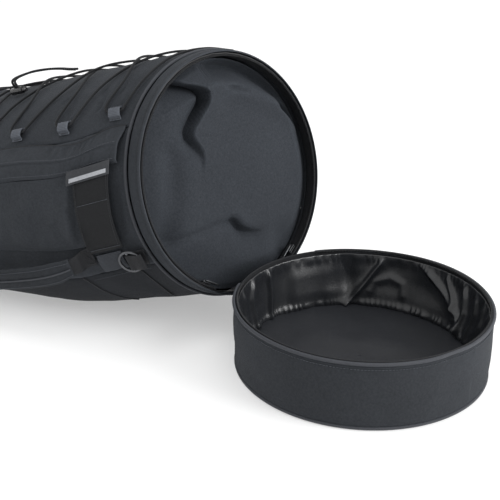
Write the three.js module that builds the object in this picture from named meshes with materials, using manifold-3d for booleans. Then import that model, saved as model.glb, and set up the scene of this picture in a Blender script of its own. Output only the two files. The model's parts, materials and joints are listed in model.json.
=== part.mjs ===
// Cylindrical duffel bag lying on its side, its round end compartment open on the floor.
// Millimetres, +Z up. The hoop opens towards +X, and the pod turns about an axis along Y.
import * as THREE from "three";
import { mergeVertices } from "three/addons/utils/BufferGeometryUtils.js";
import Module from "manifold-3d";

// Driving dimensions
const DEG = Math.PI / 180;
const HOOP_RADIUS = 155;
const HOOP_LEAN = 14.5 * DEG;
const HOOP_FOOT = 38;
const BAND_DEPTH = 22;
const POD_RADIUS = 150;
const POD_HEIGHT = 82;
const POD_GAP = 18;
const HINGE_HALF_ANGLE = 28 * DEG;
const BODY_LENGTH = 600;
const BODY_YAW = 16 * DEG;
const MITRE = 220;
const LEAN_FADE = 240;
const SOFT_SQUARE = 2.9;
const END_SQUARE = 2.25;
const WALL = 2.5;
const ROUND = 44;
const CORD_RADIUS = 1.6;
const LACE_NEAR_ANGLE = 50;
const LACE_FAR_ANGLE = -24;
const LACE_NEAR = [63, 198, 274, 338, 402, 466];
const LACE_FAR = [48, 165, 255, 325, 390, 455];
const HANDLE_START = 150;
const HANDLE_END = 370;
const RING_RADIUS = 14.2;
const RING_WIRE = 1.8;
const LOCK_RADIUS = 4.8;
const LOCK_LENGTH = 20;

// How the sagging bag changes along its length: distance behind the hoop, then the height of
// its top, half its width and the height of its underside there. The floor is at zero.
const HOOP_TOP = HOOP_FOOT + 2 * HOOP_RADIUS * Math.cos(HOOP_LEAN);
const STATIONS = [
  [0, HOOP_TOP, HOOP_RADIUS, HOOP_FOOT],
  [120, 324, 158, 12],
  [240, 303, 166, -5],
  [360, 268, 177, -10],
  [480, 247, 178, -9],
  [BODY_LENGTH, 250, 158, 6],
];
const [TOP, HALF_WIDTH, UNDERSIDE] = [1, 2, 3];

const { smoothstep, lerp } = THREE.MathUtils;
const vec = (x, y, z) => new THREE.Vector3(x, y, z);
const material = (color, roughness, metalness = 0) =>
  new THREE.MeshStandardMaterial({ color, roughness, metalness });

const CHARCOAL = material(0x3a3d42, 0.85);
const CHARCOAL_BASE = material(0x35383d, 0.85);
const BLACK_WEB = material(0x17181b, 0.8);
const GREY_WEB = material(0x5f646d, 0.75);
const LINING = material(0x141518, 0.35);
const BINDING = material(0x202226, 0.7);
const BOARD = material(0x101010, 0.6);
const PLASTIC = material(0x15161a, 0.45);
const METAL = material(0x4a4c50, 0.35, 0.9);
const LABEL = material(0xb9bcc0, 0.6);
const SHOCK_CORD = material(0x101114, 0.6);

const bag = new THREE.Group();

function addTo(parent, name, geometry, finish) {
  const mesh = new THREE.Mesh(geometry, finish);
  mesh.name = name;
  parent.add(mesh);
  return mesh;
}

// Closed geometry from points and triangles, turned so that its faces point out
function solid(points, triangles) {
  let volume = 0;
  for (const [a, b, c] of triangles) volume += points[a].dot(points[b].clone().cross(points[c]));
  const index = triangles.flatMap(([a, b, c]) => (volume < 0 ? [a, c, b] : [a, b, c]));
  const geometry = new THREE.BufferGeometry().setFromPoints(points);
  geometry.setIndex(index);
  return geometry;
}

// A sheet of cloth with thickness: outer and inner give points for u and v from 0 to 1.
// With wrap, v = 1 meets v = 0.
function sheet(outer, inner, rows, columns, wrap = false) {
  const across = wrap ? columns : columns + 1;
  const points = [];
  for (const side of [outer, inner]) {
    for (let i = 0; i <= rows; i++) {
      for (let j = 0; j < across; j++) points.push(side(i / rows, j / columns));
    }
  }
  const half = (rows + 1) * across;
  const at = (i, j) => i * across + (j % across);
  const triangles = [];
  const quad = (a, b, c, d) => triangles.push([a, b, c], [a, c, d]);
  for (let i = 0; i < rows; i++) {
    for (let j = 0; j < columns; j++) {
      const [a, b, c, d] = [at(i, j), at(i + 1, j), at(i + 1, j + 1), at(i, j + 1)];
      quad(a, b, c, d);
      quad(a + half, d + half, c + half, b + half);
      if (i === 0) quad(d, d + half, a + half, a);
      if (i === rows - 1) quad(b, b + half, c + half, c);
      if (!wrap && j === 0) quad(a, a + half, b + half, b);
      if (!wrap && j === columns - 1) quad(c, c + half, d + half, d);
    }
  }
  return solid(points, triangles);
}

// Sections joined in order: closed round on themselves, or capped at both ends
function loft(sections, closed = false) {
  const count = sections[0].length;
  const points = sections.flat();
  const triangles = [];
  const last = closed ? sections.length : sections.length - 1;
  for (let i = 0; i < last; i++) {
    const next = (i + 1) % sections.length;
    for (let j = 0; j < count; j++) {
      const k = (j + 1) % count;
      const [a, b, c, d] = [i * count + j, next * count + j, next * count + k, i * count + k];
      triangles.push([a, b, c], [a, c, d]);
    }
  }
  if (!closed) {
    const end = (sections.length - 1) * count;
    for (let j = 1; j < count - 1; j++) triangles.push([0, j, j + 1], [end, end + j + 1, end + j]);
  }
  return solid(points, triangles);
}

// Flat webbing along a path of places, each { at, wide, up }
function ribbon(places, width, thickness) {
  const sections = places.map(({ at, wide, up }) => {
    const corner = (w, n) =>
      at
        .clone()
        .addScaledVector(wide, (w * width) / 2)
        .addScaledVector(up, (n * thickness) / 2);
    return [corner(-1, -1), corner(1, -1), corner(1, 1), corner(-1, 1)];
  });
  return loft(sections);
}

// A round cord along hand-placed points
function cord(points, steps, radius = CORD_RADIUS, quarter = 2) {
  const outline = new THREE.Shape();
  outline.absarc(0, 0, radius, 0, 2 * Math.PI);
  const extrudePath = new THREE.CatmullRomCurve3(points, false, "centripetal");
  return new THREE.ExtrudeGeometry(outline, { steps, extrudePath, curveSegments: 2 * quarter });
}

// Value of one column of STATIONS at a distance behind the hoop, smooth through every station
function station(column, distance) {
  const last = STATIONS.length - 1;
  const slope = (k) => {
    const [a, b] = [STATIONS[Math.max(k - 1, 0)], STATIONS[Math.min(k + 1, last)]];
    return (b[column] - a[column]) / (b[0] - a[0]);
  };
  let i = 0;
  while (i < last - 1 && distance > STATIONS[i + 1][0]) i++;
  const [from, to] = [STATIONS[i], STATIONS[i + 1]];
  const span = to[0] - from[0];
  const t = (distance - from[0]) / span;
  return (
    (2 * t ** 3 - 3 * t ** 2 + 1) * from[column] +
    (t ** 3 - 2 * t ** 2 + t) * span * slope(i) +
    (3 * t ** 2 - 2 * t ** 3) * to[column] +
    (t ** 3 - t ** 2) * span * slope(i + 1)
  );
}

// Point on the bag: distance behind the hoop, degrees from the top towards the -Y side, and
// distance outside the fabric. The section leans and faces as the hoop does at the front, and
// squares up behind it.
function skin(distance, degrees, outside = 0) {
  const settle = smoothstep(distance, 0, LEAN_FADE);
  const lean = HOOP_LEAN * (1 - settle);
  const yaw = BODY_YAW * smoothstep(distance, BAND_DEPTH, MITRE);
  const top = station(TOP, distance);
  const underside = station(UNDERSIDE, distance);
  const height = (top - underside) / 2 / Math.cos(lean) + outside;
  const width = station(HALF_WIDTH, distance) + outside;
  const toEnd = smoothstep(distance, BODY_LENGTH - 150, BODY_LENGTH);
  const square = lerp(lerp(2, SOFT_SQUARE, settle), END_SQUARE, toEnd);
  const [c, s] = [Math.cos(degrees * DEG), Math.sin(degrees * DEG)];
  const power = c >= 0 ? 2 : square;
  const r = (Math.abs(c) ** power + Math.abs(s) ** power) ** (-1 / power);
  const back = -height * r * c * Math.sin(lean);
  const side = -width * r * s;
  const up = (top + underside) / 2 + height * r * c * Math.cos(lean);
  return vec(
    -distance * Math.cos(BODY_YAW) -
      HOOP_RADIUS * Math.sin(HOOP_LEAN) * (1 - settle) +
      back * Math.cos(yaw) -
      side * Math.sin(yaw),
    -Math.max(distance - BAND_DEPTH, 0) * Math.sin(BODY_YAW) +
      back * Math.sin(yaw) +
      side * Math.cos(yaw),
    Math.max(up, 0, -outside),
  );
}

// Directions on the bag's surface: along it away from the hoop, round it, and out of it
function placeOn(distance, degrees, outside = 0) {
  const step = 0.5;
  const along = skin(distance + step, degrees).sub(skin(distance - step, degrees)).normalize();
  const round = skin(distance, degrees + step).sub(skin(distance, degrees - step)).normalize();
  const out = along.clone().cross(round).normalize();
  const level = out.clone().cross(along).normalize();
  const at = skin(distance, degrees).addScaledVector(out, outside);
  return { at, along, round: level, out };
}

function patch([fromDistance, toDistance], [fromAngle, toAngle], [over, under], rows, columns) {
  const layer = (outside) => (u, v) => {
    const distance = lerp(fromDistance, toDistance, u);
    const degrees = lerp(fromAngle, toAngle, v);
    return skin(distance, degrees, typeof outside === "function" ? outside(u, v) : outside);
  };
  return sheet(layer(over), layer(under), rows, columns);
}

// ---- Shell of the bag -------------------------------------------------------------------
const SHELL_START = BAND_DEPTH + 5.5;
const SHELL_END = BODY_LENGTH - 4;
const PANELS = [
  ["lacing_panel", -16.5, 56.6, 8, CHARCOAL],
  ["near_side_panel", 57.4, 121.6, 7, CHARCOAL],
  ["bottom_panel", 122.4, 238.6, 12, CHARCOAL_BASE],
  ["far_side_panel", 239.4, 342.7, 10, CHARCOAL],
];
for (const [name, from, to, columns, finish] of PANELS) {
  const geometry = patch([SHELL_START, SHELL_END], [from, to], [0, -WALL], 12, columns);
  addTo(bag, name, geometry, finish);
}

// ---- Side pocket with its covered zip ---------------------------------------------------
const POCKET_ENDS = [80, 560];
const liftOff = (low, high) => (u, v) => lerp(low, high, smoothstep(v, 0, 0.5));
addTo(bag, "side_pocket", patch(POCKET_ENDS, [73.2, 105.5], [6.4, 1.4], 9, 4), CHARCOAL);
addTo(bag, "pocket_zip_tape", patch([90, 560], [65.5, 72.4], [2.4, 1.2], 9, 1), BLACK_WEB);
const flap = patch([34, 575], [57.8, 72.8], [liftOff(2.6, 9.6), liftOff(1.1, 8.1)], 12, 4);
addTo(bag, "zip_flap", flap, CHARCOAL);

const pocketSliderPlace = placeOn(250, 69, 4.7);
const pocketSlider = new THREE.BoxGeometry(12, 7, 3);
pocketSlider.applyMatrix4(
  new THREE.Matrix4().makeBasis(
    pocketSliderPlace.along,
    pocketSliderPlace.round,
    pocketSliderPlace.out,
  ),
);
addTo(bag, "pocket_zip_slider", pocketSlider, METAL).position.copy(pocketSliderPlace.at);

// ---- Webbing on the near side -----------------------------------------------------------
const STRAP_WIDTH = 46;
function alongSkin(distance, angles, outside) {
  return angles.map((degrees) => {
    const place = placeOn(distance, degrees, outside);
    return { at: place.at, wide: place.along, up: place.out };
  });
}
const strapPath = alongSkin(90, [75.5, 80, 85, 90, 95, 100, 105, 109.5], 11.5);
addTo(bag, "side_strap", ribbon(strapPath, STRAP_WIDTH, 2), BLACK_WEB);
addTo(bag, "blank_label", ribbon(alongSkin(96, [72.4, 75.1, 77.8], 13.6), 56, 1), LABEL);
const tailPath = alongSkin(92, [111.5, 114.5, 117.5, 120.5], 3);
addTo(bag, "strap_tail", ribbon(tailPath, 34, 1.6), GREY_WEB);

// ---- Strap ring on its webbing tab, hinged at the hoop seam ------------------------------
const ringPlace = placeOn(53, 116, 11);
const tabPlace = (towardsHoop, lift) => ({
  at: ringPlace.at
    .clone()
    .addScaledVector(ringPlace.along, -towardsHoop)
    .addScaledVector(ringPlace.out, lift),
  wide: ringPlace.round,
  up: ringPlace.out,
});
const BAR_CLEARANCE = RING_WIRE + 0.4 + 0.7;
function ringTab() {
  const places = [tabPlace(20, -5.4), tabPlace(14, -5.4), tabPlace(5, -BAR_CLEARANCE)];
  for (let turn = -90; turn <= 90; turn += 30) {
    const [c, s] = [Math.cos(turn * DEG), Math.sin(turn * DEG)];
    const place = tabPlace(-BAR_CLEARANCE * c, BAR_CLEARANCE * s);
    place.up = ringPlace.along.clone().multiplyScalar(c).addScaledVector(ringPlace.out, s);
    places.push(place);
  }
  places[0].up = places[1].up = places[2].up = ringPlace.out.clone().negate();
  places.push(tabPlace(5, BAR_CLEARANCE), tabPlace(14, 4.6), tabPlace(20, 3.4));
  return ribbon(places, 22, 1.4);
}
addTo(bag, "ring_tab", ringTab(), BLACK_WEB);

const wasm = await Module();
wasm.setup();
function toManifold(geometry) {
  const plain = geometry.clone();
  plain.deleteAttribute("normal");
  plain.deleteAttribute("uv");
  const merged = mergeVertices(plain, 1e-4);
  return new wasm.Manifold(
    new wasm.Mesh({
      numProp: 3,
      vertProperties: new Float32Array(merged.attributes.position.array),
      triVerts: new Uint32Array(merged.index.array),
    }),
  );
}
function fromManifold(body) {
  const { vertProperties, triVerts } = body.getMesh();
  const geometry = new THREE.BufferGeometry();
  geometry.setAttribute("position", new THREE.BufferAttribute(vertProperties, 3));
  geometry.setIndex(new THREE.BufferAttribute(triVerts, 1));
  return geometry;
}
const joined = (first, second) => fromManifold(toManifold(first).add(toManifold(second)));
const cut = (first, second) => fromManifold(toManifold(first).subtract(toManifold(second)));

const wireRing = new THREE.TorusGeometry(RING_RADIUS, RING_WIRE, 8, 28);
const crossbar = new THREE.CylinderGeometry(RING_WIRE, RING_WIRE, 2 * RING_RADIUS, 8);
const ring = addTo(bag, "strap_ring", joined(wireRing, crossbar), METAL);
const { along: ringX, round: ringY, out: ringZ } = ringPlace;
ring.setRotationFromMatrix(new THREE.Matrix4().makeBasis(ringX, ringY, ringZ));
ring.position.copy(ringPlace.at);

// ---- Padded grab handle -------------------------------------------------------------------
const handleAngle = (distance) =>
  lerp(111.8, 118, (distance - HANDLE_START) / (HANDLE_END - HANDLE_START));
const HANDLE_STANDOFF = 9;
const HANDLE_BOW = 19;
const handleOut = (u) => HANDLE_STANDOFF + HANDLE_BOW * Math.sin(Math.PI * u) ** 0.8;
function handlePlace(u) {
  const distance = lerp(HANDLE_START, HANDLE_END, u);
  const place = placeOn(distance, handleAngle(distance), handleOut(u));
  return { at: place.at, wide: place.round, up: place.out };
}
function handlePad() {
  const sections = [];
  for (let i = 0; i <= 10; i++) {
    const { at, wide, up } = handlePlace(lerp(0.08, 0.92, i / 10));
    const end = Math.min(i, 10 - i) === 0 ? 0.85 : 1;
    const section = [];
    for (let turn = 0; turn < 360; turn += 36) {
      const [c, s] = [Math.cos(turn * DEG), Math.sin(turn * DEG)];
      const onWidth = at.clone().addScaledVector(wide, 16 * end * c);
      section.push(onWidth.addScaledVector(up, 4.5 * end * s));
    }
    sections.push(section);
  }
  return loft(sections);
}
addTo(bag, "handle_pad", handlePad(), CHARCOAL);
function handleAnchor(u, direction) {
  const foot = lerp(HANDLE_START, HANDLE_END, u);
  const places = [
    [foot - direction * 24, 2.2],
    [foot - direction * 12, 2.2],
    [foot - direction * 3, 3.4],
  ].map(([distance, outside]) => {
    const place = placeOn(distance, handleAngle(distance), outside);
    return { at: place.at, wide: place.round, up: place.out };
  });
  places.push(handlePlace(u + direction * 0.02), handlePlace(u + direction * 0.07));
  return ribbon(places, 25, 1.8);
}
addTo(bag, "handle_anchor_front", handleAnchor(0, 1), BLACK_WEB);
addTo(bag, "handle_anchor_rear", handleAnchor(1, -1), BLACK_WEB);

// ---- Lacing: webbing loops in two rows and the shock cord through them --------------------
const LOOP_WIDTH = 15;
function laceLoop(distance, degrees) {
  const place = placeOn(distance, degrees);
  const arch = [
    [-9, 0.9],
    [-7, 1.1],
    [-5, 5.2],
    [0, 6.2],
    [5, 5.2],
    [7, 1.1],
    [9, 0.9],
  ];
  const tilt = [0, 0.3, 0.7, 0, -0.7, -0.3, 0];
  const places = arch.map(([round, out], i) => ({
    at: place.at.clone().addScaledVector(place.round, round).addScaledVector(place.out, out),
    wide: place.along,
    up: place.out.clone().addScaledVector(place.round, -tilt[i]).normalize(),
  }));
  return ribbon(places, LOOP_WIDTH, 1.2);
}
LACE_NEAR.forEach((distance, i) => {
  addTo(bag, `near_lace_loop_${i + 1}`, laceLoop(distance, LACE_NEAR_ANGLE), GREY_WEB);
});
LACE_FAR.forEach((distance, i) => {
  addTo(bag, `far_lace_loop_${i + 1}`, laceLoop(distance, LACE_FAR_ANGLE), GREY_WEB);
});

// Place on the bag reached by going some way along it and round it from another place
function beside(distance, degrees, alongBy, roundBy, outside) {
  const { at, along, round, out } = placeOn(distance, degrees);
  return at
    .addScaledVector(along, alongBy)
    .addScaledVector(round, roundBy)
    .addScaledVector(out, outside);
}

// Route of one end of the cord, crossing over to the other row after every loop. The cord's
// middle runs straight over between the two loops by the hoop, as part of the first route.
function laceRoute(startsNear, crossingHeight) {
  const middle = (LACE_NEAR_ANGLE + LACE_FAR_ANGLE) / 2;
  const inLoop = 3;
  const straightOver = [
    beside(LACE_FAR[0], LACE_FAR_ANGLE, -14.2, 9.9, inLoop),
    placeOn(37, middle - 20, 2.8).at,
    placeOn(40, middle, 2.8).at,
    placeOn(42, middle + 20, 2.8).at,
  ];
  const points = startsNear ? straightOver : [];
  let before = null;
  for (let i = 0; i < LACE_NEAR.length; i++) {
    const near = (i % 2 === 0) === startsNear;
    const distance = near ? LACE_NEAR[i] : LACE_FAR[i];
    const degrees = near ? LACE_NEAR_ANGLE : LACE_FAR_ANGLE;
    const inward = near ? -1 : 1;
    if (before !== null) {
      const span = (u) => lerp(before, distance, u);
      points.push(placeOn(span(0.27), middle + inward * 17, 2.8).at);
      points.push(placeOn(span(0.5), middle, crossingHeight).at);
      points.push(placeOn(span(0.73), middle - inward * 17, 2.8).at);
    }
    for (const [alongBy, roundBy] of [[-13, 8], [-9, 1.6], [0, 0], [9, 1.6], [13, 8]]) {
      points.push(beside(distance, degrees, alongBy, inward * roundBy, inLoop));
    }
    before = distance;
  }
  return points;
}
const LACE_STEPS = 144;
const laceRouteA = laceRoute(true, 6.6);
const laceRouteB = laceRoute(false, 2.4);
addTo(bag, "lace_cord_a", cord(laceRouteA, LACE_STEPS), SHOCK_CORD);
addTo(bag, "lace_cord_b", cord(laceRouteB, LACE_STEPS), SHOCK_CORD);

// ---- Free tail of the cord and its barrel lock ---------------------------------------------
// The barrel lies along the bag, closed end away from the hoop, with a slot for both cords.
const CORD_SLOT = -1;
const lockPlace = placeOn(342, 16, LOCK_RADIUS + 1.4);
const slotMouth = (alongBy, roundBy, outBy) =>
  lockPlace.at
    .clone()
    .addScaledVector(lockPlace.along, CORD_SLOT + alongBy)
    .addScaledVector(lockPlace.round, roundBy)
    .addScaledVector(lockPlace.out, outBy);
function tail(side) {
  const start = placeOn(282, -1, 7.5);
  const apart = (turn) =>
    start.round
      .clone()
      .multiplyScalar(Math.cos(turn * DEG))
      .addScaledVector(start.along, -Math.sin(turn * DEG))
      .multiplyScalar(side * 2.6);
  const arch = [
    [282, -1, 7.5, 0],
    [293, -1, 10, 10],
    [307, 0, 14.5, 25],
    [321, 3, 18.5, 45],
    [334, 9, 21.5, 70],
  ].map(([distance, degrees, outside, turn]) =>
    placeOn(distance, degrees, outside).at.add(apart(turn)),
  );
  const above = slotMouth(-side * 2.4, 0, 14);
  return [...arch, above, slotMouth(-side * 2.1, 0, LOCK_RADIUS - 0.6)];
}
addTo(bag, "tail_cord_a", cord(tail(1), 22), SHOCK_CORD);
addTo(bag, "tail_cord_b", cord(tail(-1), 22), SHOCK_CORD);

const lock = new THREE.Group();
lock.setRotationFromMatrix(
  new THREE.Matrix4().makeBasis(lockPlace.along, lockPlace.round, lockPlace.out),
);
lock.position.copy(lockPlace.at);
bag.add(lock);
const BORE = 3.6;
const BORE_END = LOCK_LENGTH / 2 - 2;
const PLUNGER_LENGTH = 20;
const PLUNGER_OUT = 6;
const alongX = (geometry) => geometry.rotateZ(-Math.PI / 2);
const barrelProfile = [
  [0, BORE_END],
  [BORE, BORE_END],
  [BORE, -LOCK_LENGTH / 2],
  [LOCK_RADIUS, -LOCK_LENGTH / 2],
  [LOCK_RADIUS, LOCK_LENGTH / 2 - 1],
  [LOCK_RADIUS - 0.6, LOCK_LENGTH / 2],
  [0, LOCK_LENGTH / 2],
].map(([r, x]) => new THREE.Vector2(r, x));
const slot = new THREE.BoxGeometry(7.8, 3.9, 4 * LOCK_RADIUS).translate(CORD_SLOT, 0, 0);
const barrel = alongX(new THREE.LatheGeometry(barrelProfile, 14));
addTo(lock, "lock_barrel", cut(barrel, slot), PLASTIC);
const plunger = alongX(new THREE.CylinderGeometry(3.2, 3.2, PLUNGER_LENGTH, 12));
plunger.translate(PLUNGER_LENGTH / 2 - LOCK_LENGTH / 2 - PLUNGER_OUT, 0, 0);
addTo(lock, "lock_plunger", cut(plunger, slot), PLASTIC);
const SPRING_TURNS = 3;
const springFrom = PLUNGER_LENGTH - LOCK_LENGTH / 2 - PLUNGER_OUT + 0.5;
const springPoints = [];
for (let i = 0; i <= SPRING_TURNS * 6; i++) {
  const angle = (i / 6) * 2 * Math.PI;
  const x = lerp(springFrom, BORE_END - 0.5, i / (SPRING_TURNS * 6));
  springPoints.push(vec(x, 2.4 * Math.cos(angle), 2.4 * Math.sin(angle)));
}
addTo(lock, "lock_spring", cord(springPoints, SPRING_TURNS * 8, 0.3, 1), METAL);

// ---- Hoop end: band, piping, stiffener, zip tape and divider -------------------------------
const bandPoint = (outside) => (u, v) => skin(lerp(0.5, BAND_DEPTH, u), v * 360, outside);
addTo(bag, "hoop_band", sheet(bandPoint(0.4), bandPoint(-1.6), 2, ROUND, true), CHARCOAL);
function ringTube(distance, outside, radius, count) {
  const sections = [];
  for (let i = 0; i < count; i++) {
    const place = placeOn(distance, (i / count) * 360, outside);
    const section = [];
    for (let turn = 0; turn < 360; turn += 60) {
      const [c, s] = [Math.cos(turn * DEG), Math.sin(turn * DEG)];
      const middle = place.at.clone().addScaledVector(place.along, radius * c);
      section.push(middle.addScaledVector(place.out, radius * s));
    }
    sections.push(section);
  }
  return loft(sections, true);
}
addTo(bag, "hoop_piping", ringTube(BAND_DEPTH + 2.8, 0.6, 1.9, ROUND), BINDING);
addTo(bag, "end_piping", ringTube(BODY_LENGTH - 0.5, 0.6, 2.2, 36), BINDING);

// Parts that are true circles about the hoop's axis, which is X of this group
const hoop = new THREE.Group();
hoop.position.set(
  -HOOP_RADIUS * Math.sin(HOOP_LEAN),
  0,
  HOOP_FOOT + HOOP_RADIUS * Math.cos(HOOP_LEAN),
);
hoop.rotation.y = -HOOP_LEAN;
bag.add(hoop);
// Arc of a ring about X, angles measured from the lowest point
function arcBand([x0, x1], [r0, r1], [from, to], columns, wrap = false) {
  const at = (r) => (u, v) => {
    const angle = lerp(from, to, v);
    return vec(lerp(x0, x1, u), -r * Math.sin(angle), -r * Math.cos(angle));
  };
  return sheet(at(r1), at(r0), 1, columns, wrap);
}
const FULL = [0, 2 * Math.PI];
addTo(hoop, "hoop_stiffener", arcBand([-9, -3], [151.2, 152.2], FULL, ROUND, true), BOARD);
const TAPE_ARC = [HINGE_HALF_ANGLE, 2 * Math.PI - HINGE_HALF_ANGLE];
addTo(hoop, "hoop_zip_tape", arcBand([-17, -1.5], [149.2, 150.4], TAPE_ARC, ROUND), BLACK_WEB);
const dividerProfile = [
  [0, -24],
  [148.5, -24],
  [148.5, -21.5],
  [70, -20.5],
  [0, -19.5],
].map(([r, x]) => new THREE.Vector2(r, x));
const divider = alongX(new THREE.LatheGeometry(dividerProfile, ROUND));
addTo(hoop, "divider", divider, CHARCOAL);

// ---- Zip sliders of the hoop, each with a pull --------------------------------------------
const SLIDER_ANGLE = 33 * DEG;
const SLIDER_DEPTH = 9;
const SLIDER_RADIUS = 146.6;
const SLIDER_SIZE = [8, 13, 4.2];
const sliderBody = cut(
  new THREE.BoxGeometry(...SLIDER_SIZE),
  new THREE.BoxGeometry(3, 6, 2.4).translate(0, 0, 1.4),
);
// Pull: a tapered plate with a round hole, hanging from a point 1.2 mm inside its narrow end
const PULL_THICKNESS = 1.4;
const PULL_LENGTH = 18;
const PULL_LIFT = 3.6;
const pullShape = new THREE.Shape();
pullShape.moveTo(2.4, 1.2);
pullShape.lineTo(-2.4, 1.2);
pullShape.lineTo(-3.6, -PULL_LENGTH);
pullShape.absarc(0, -PULL_LENGTH, 3.6, Math.PI, 2 * Math.PI);
const pullHole = new THREE.Path();
pullHole.absarc(0, -PULL_LENGTH, 1.6, 0, 2 * Math.PI);
pullShape.holes.push(pullHole);
const pullGeometry = new THREE.ExtrudeGeometry(pullShape, {
  depth: PULL_THICKNESS,
  bevelEnabled: false,
  curveSegments: 6,
});
for (const [name, side] of [
  ["near", -1],
  ["far", 1],
]) {
  const carrier = new THREE.Group();
  carrier.rotation.x = side * SLIDER_ANGLE;
  hoop.add(carrier);
  const slider = addTo(carrier, `${name}_zip_slider`, sliderBody, METAL);
  slider.position.set(-SLIDER_DEPTH, 0, -SLIDER_RADIUS);
  const pull = addTo(carrier, `${name}_zip_pull`, pullGeometry, METAL);
  pull.position.set(-SLIDER_DEPTH, 0, -SLIDER_RADIUS + PULL_LIFT);
  if (side < 0) pull.rotation.z = Math.PI;
}

// ---- Pod: the round end compartment, standing open on its base -----------------------------
const pod = new THREE.Group();
pod.position.set(POD_GAP + POD_RADIUS, 0, 0);
bag.add(pod);
const lathe = (outline) => {
  const points = outline.map(([r, z]) => new THREE.Vector2(r, z));
  return new THREE.LatheGeometry(points, ROUND).rotateX(Math.PI / 2);
};
const tube = (r0, r1, z0, z1) => lathe([[r0, z0], [r1, z0], [r1, z1], [r0, z1], [r0, z0]]);
const disc = (r, z0, z1) => lathe([[0, z0], [r, z0], [r, z1], [0, z1]]);
const torus = (r, tubeRadius, z) =>
  new THREE.TorusGeometry(r, tubeRadius, 6, ROUND).translate(0, 0, z);
addTo(pod, "pod_base", disc(POD_RADIUS - 3, 0, 2), CHARCOAL_BASE);
addTo(pod, "pod_base_board", disc(POD_RADIUS - 6, 2.5, 4.5), BOARD);
addTo(pod, "pod_floor_lining", disc(POD_RADIUS - 6, 5, 6.2), LINING);
addTo(pod, "pod_base_piping", torus(POD_RADIUS - 0.6, 1.7, 1.8), BINDING);
addTo(pod, "pod_wall", tube(POD_RADIUS - 2.2, POD_RADIUS, 4, POD_HEIGHT - 5), CHARCOAL);
const podLining = tube(POD_RADIUS - 4, POD_RADIUS - 2.7, 6.8, POD_HEIGHT - 8);
addTo(pod, "pod_wall_lining", podLining, LINING);
addTo(pod, "pod_rim_piping", torus(POD_RADIUS - 0.4, 1.9, POD_HEIGHT - 2.6), BINDING);
const podTape = tube(POD_RADIUS - 4.4, POD_RADIUS - 3.2, POD_HEIGHT - 7.4, POD_HEIGHT);
addTo(pod, "pod_zip_tape", podTape, BLACK_WEB);

// ---- Fabric hinge between the hoop's lowest part and the pod's rim --------------------------
const hoopEdge = (across) => {
  const r = HOOP_RADIUS - 2.6;
  const drop = Math.sqrt(r * r - across * across);
  return vec(1.4, across, -drop).applyMatrix4(hoop.matrix);
};
hoop.updateMatrix();
const podEdge = (across) => {
  const r = POD_RADIUS + 2.6;
  return vec(pod.position.x - Math.sqrt(r * r - across * across), across, POD_HEIGHT - 2);
};
const HINGE_HALF_WIDTH = POD_RADIUS * Math.sin(HINGE_HALF_ANGLE);
const hingeCloth = (outside) => (u, v) => {
  const across = lerp(-HINGE_HALF_WIDTH, HINGE_HALF_WIDTH, v);
  const point = hoopEdge(across).lerp(podEdge(across), u);
  point.x += 2.5 * Math.sin(Math.PI * u) - outside;
  return point;
};
addTo(bag, "hinge_flap", sheet(hingeCloth(0.5), hingeCloth(-0.5), 4, 10), BLACK_WEB);

// ---- Far end: round lid hinged at its lower edge, with handle, slider and pull --------------
const endFrame = new THREE.Group();
endFrame.position.set(
  -BODY_LENGTH * Math.cos(BODY_YAW),
  -(BODY_LENGTH - BAND_DEPTH) * Math.sin(BODY_YAW),
  0,
);
endFrame.rotation.z = BODY_YAW;
bag.add(endFrame);
endFrame.updateMatrix();
const toEndFrame = endFrame.matrix.clone().invert();
const LID_INSET = 5;
function lidGeometry() {
  const outline = [];
  for (let degrees = 0; degrees < 360; degrees += 10) {
    const edge = skin(BODY_LENGTH, degrees, -LID_INSET).applyMatrix4(toEndFrame);
    outline.push(new THREE.Vector2(edge.y, Math.max(edge.z, 7)));
  }
  const shape = new THREE.Shape(outline);
  const plate = new THREE.ExtrudeGeometry(shape, { depth: 3, bevelEnabled: false });
  // The outline's own x and y become Y and Z, and the plate lies just behind the bag
  plate.applyMatrix4(new THREE.Matrix4().makeBasis(vec(0, 1, 0), vec(0, 0, 1), vec(1, 0, 0)));
  return plate.translate(-5.6, 0, 0);
}
addTo(endFrame, "end_lid", lidGeometry(), CHARCOAL);
const lidPlaces = [
  [-80, -7.4],
  [-62, -7.4],
  [-50, -20],
  [-25, -24],
  [25, -24],
  [50, -20],
  [62, -7.4],
  [80, -7.4],
].map(([y, x]) => ({ at: vec(x, y, 128), wide: vec(0, 0, 1), up: vec(1, 0, 0) }));
addTo(endFrame, "lid_handle", ribbon(lidPlaces, 28, 2), BLACK_WEB);
const LID_ZIP = [-128, 62];
const lidSliderBody = sliderBody.clone().rotateY(-Math.PI / 2).rotateX(Math.PI / 2);
const lidSlider = addTo(endFrame, "lid_zip_slider", lidSliderBody, METAL);
lidSlider.position.set(-8.2, ...LID_ZIP);
const upright = new THREE.Matrix4().makeBasis(vec(0, -1, 0), vec(0, 0, 1), vec(-1, 0, 0));
const lidPull = addTo(endFrame, "lid_zip_pull", pullGeometry.clone().applyMatrix4(upright), METAL);
lidPull.position.set(-11.4, ...LID_ZIP);

// ---- Origin at the bottom centre of the whole object ----------------------------------------
bag.updateMatrixWorld(true);
const bounds = new THREE.Box3().setFromObject(bag, true);
const centre = bounds.getCenter(vec(0, 0, 0));
const part = new THREE.Group();
bag.position.set(-centre.x, -centre.y, -bounds.min.z);
part.add(bag);

export default part;
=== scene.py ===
"""A cylindrical duffel bag on its side, its round end compartment folded open on the floor."""

import math

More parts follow.
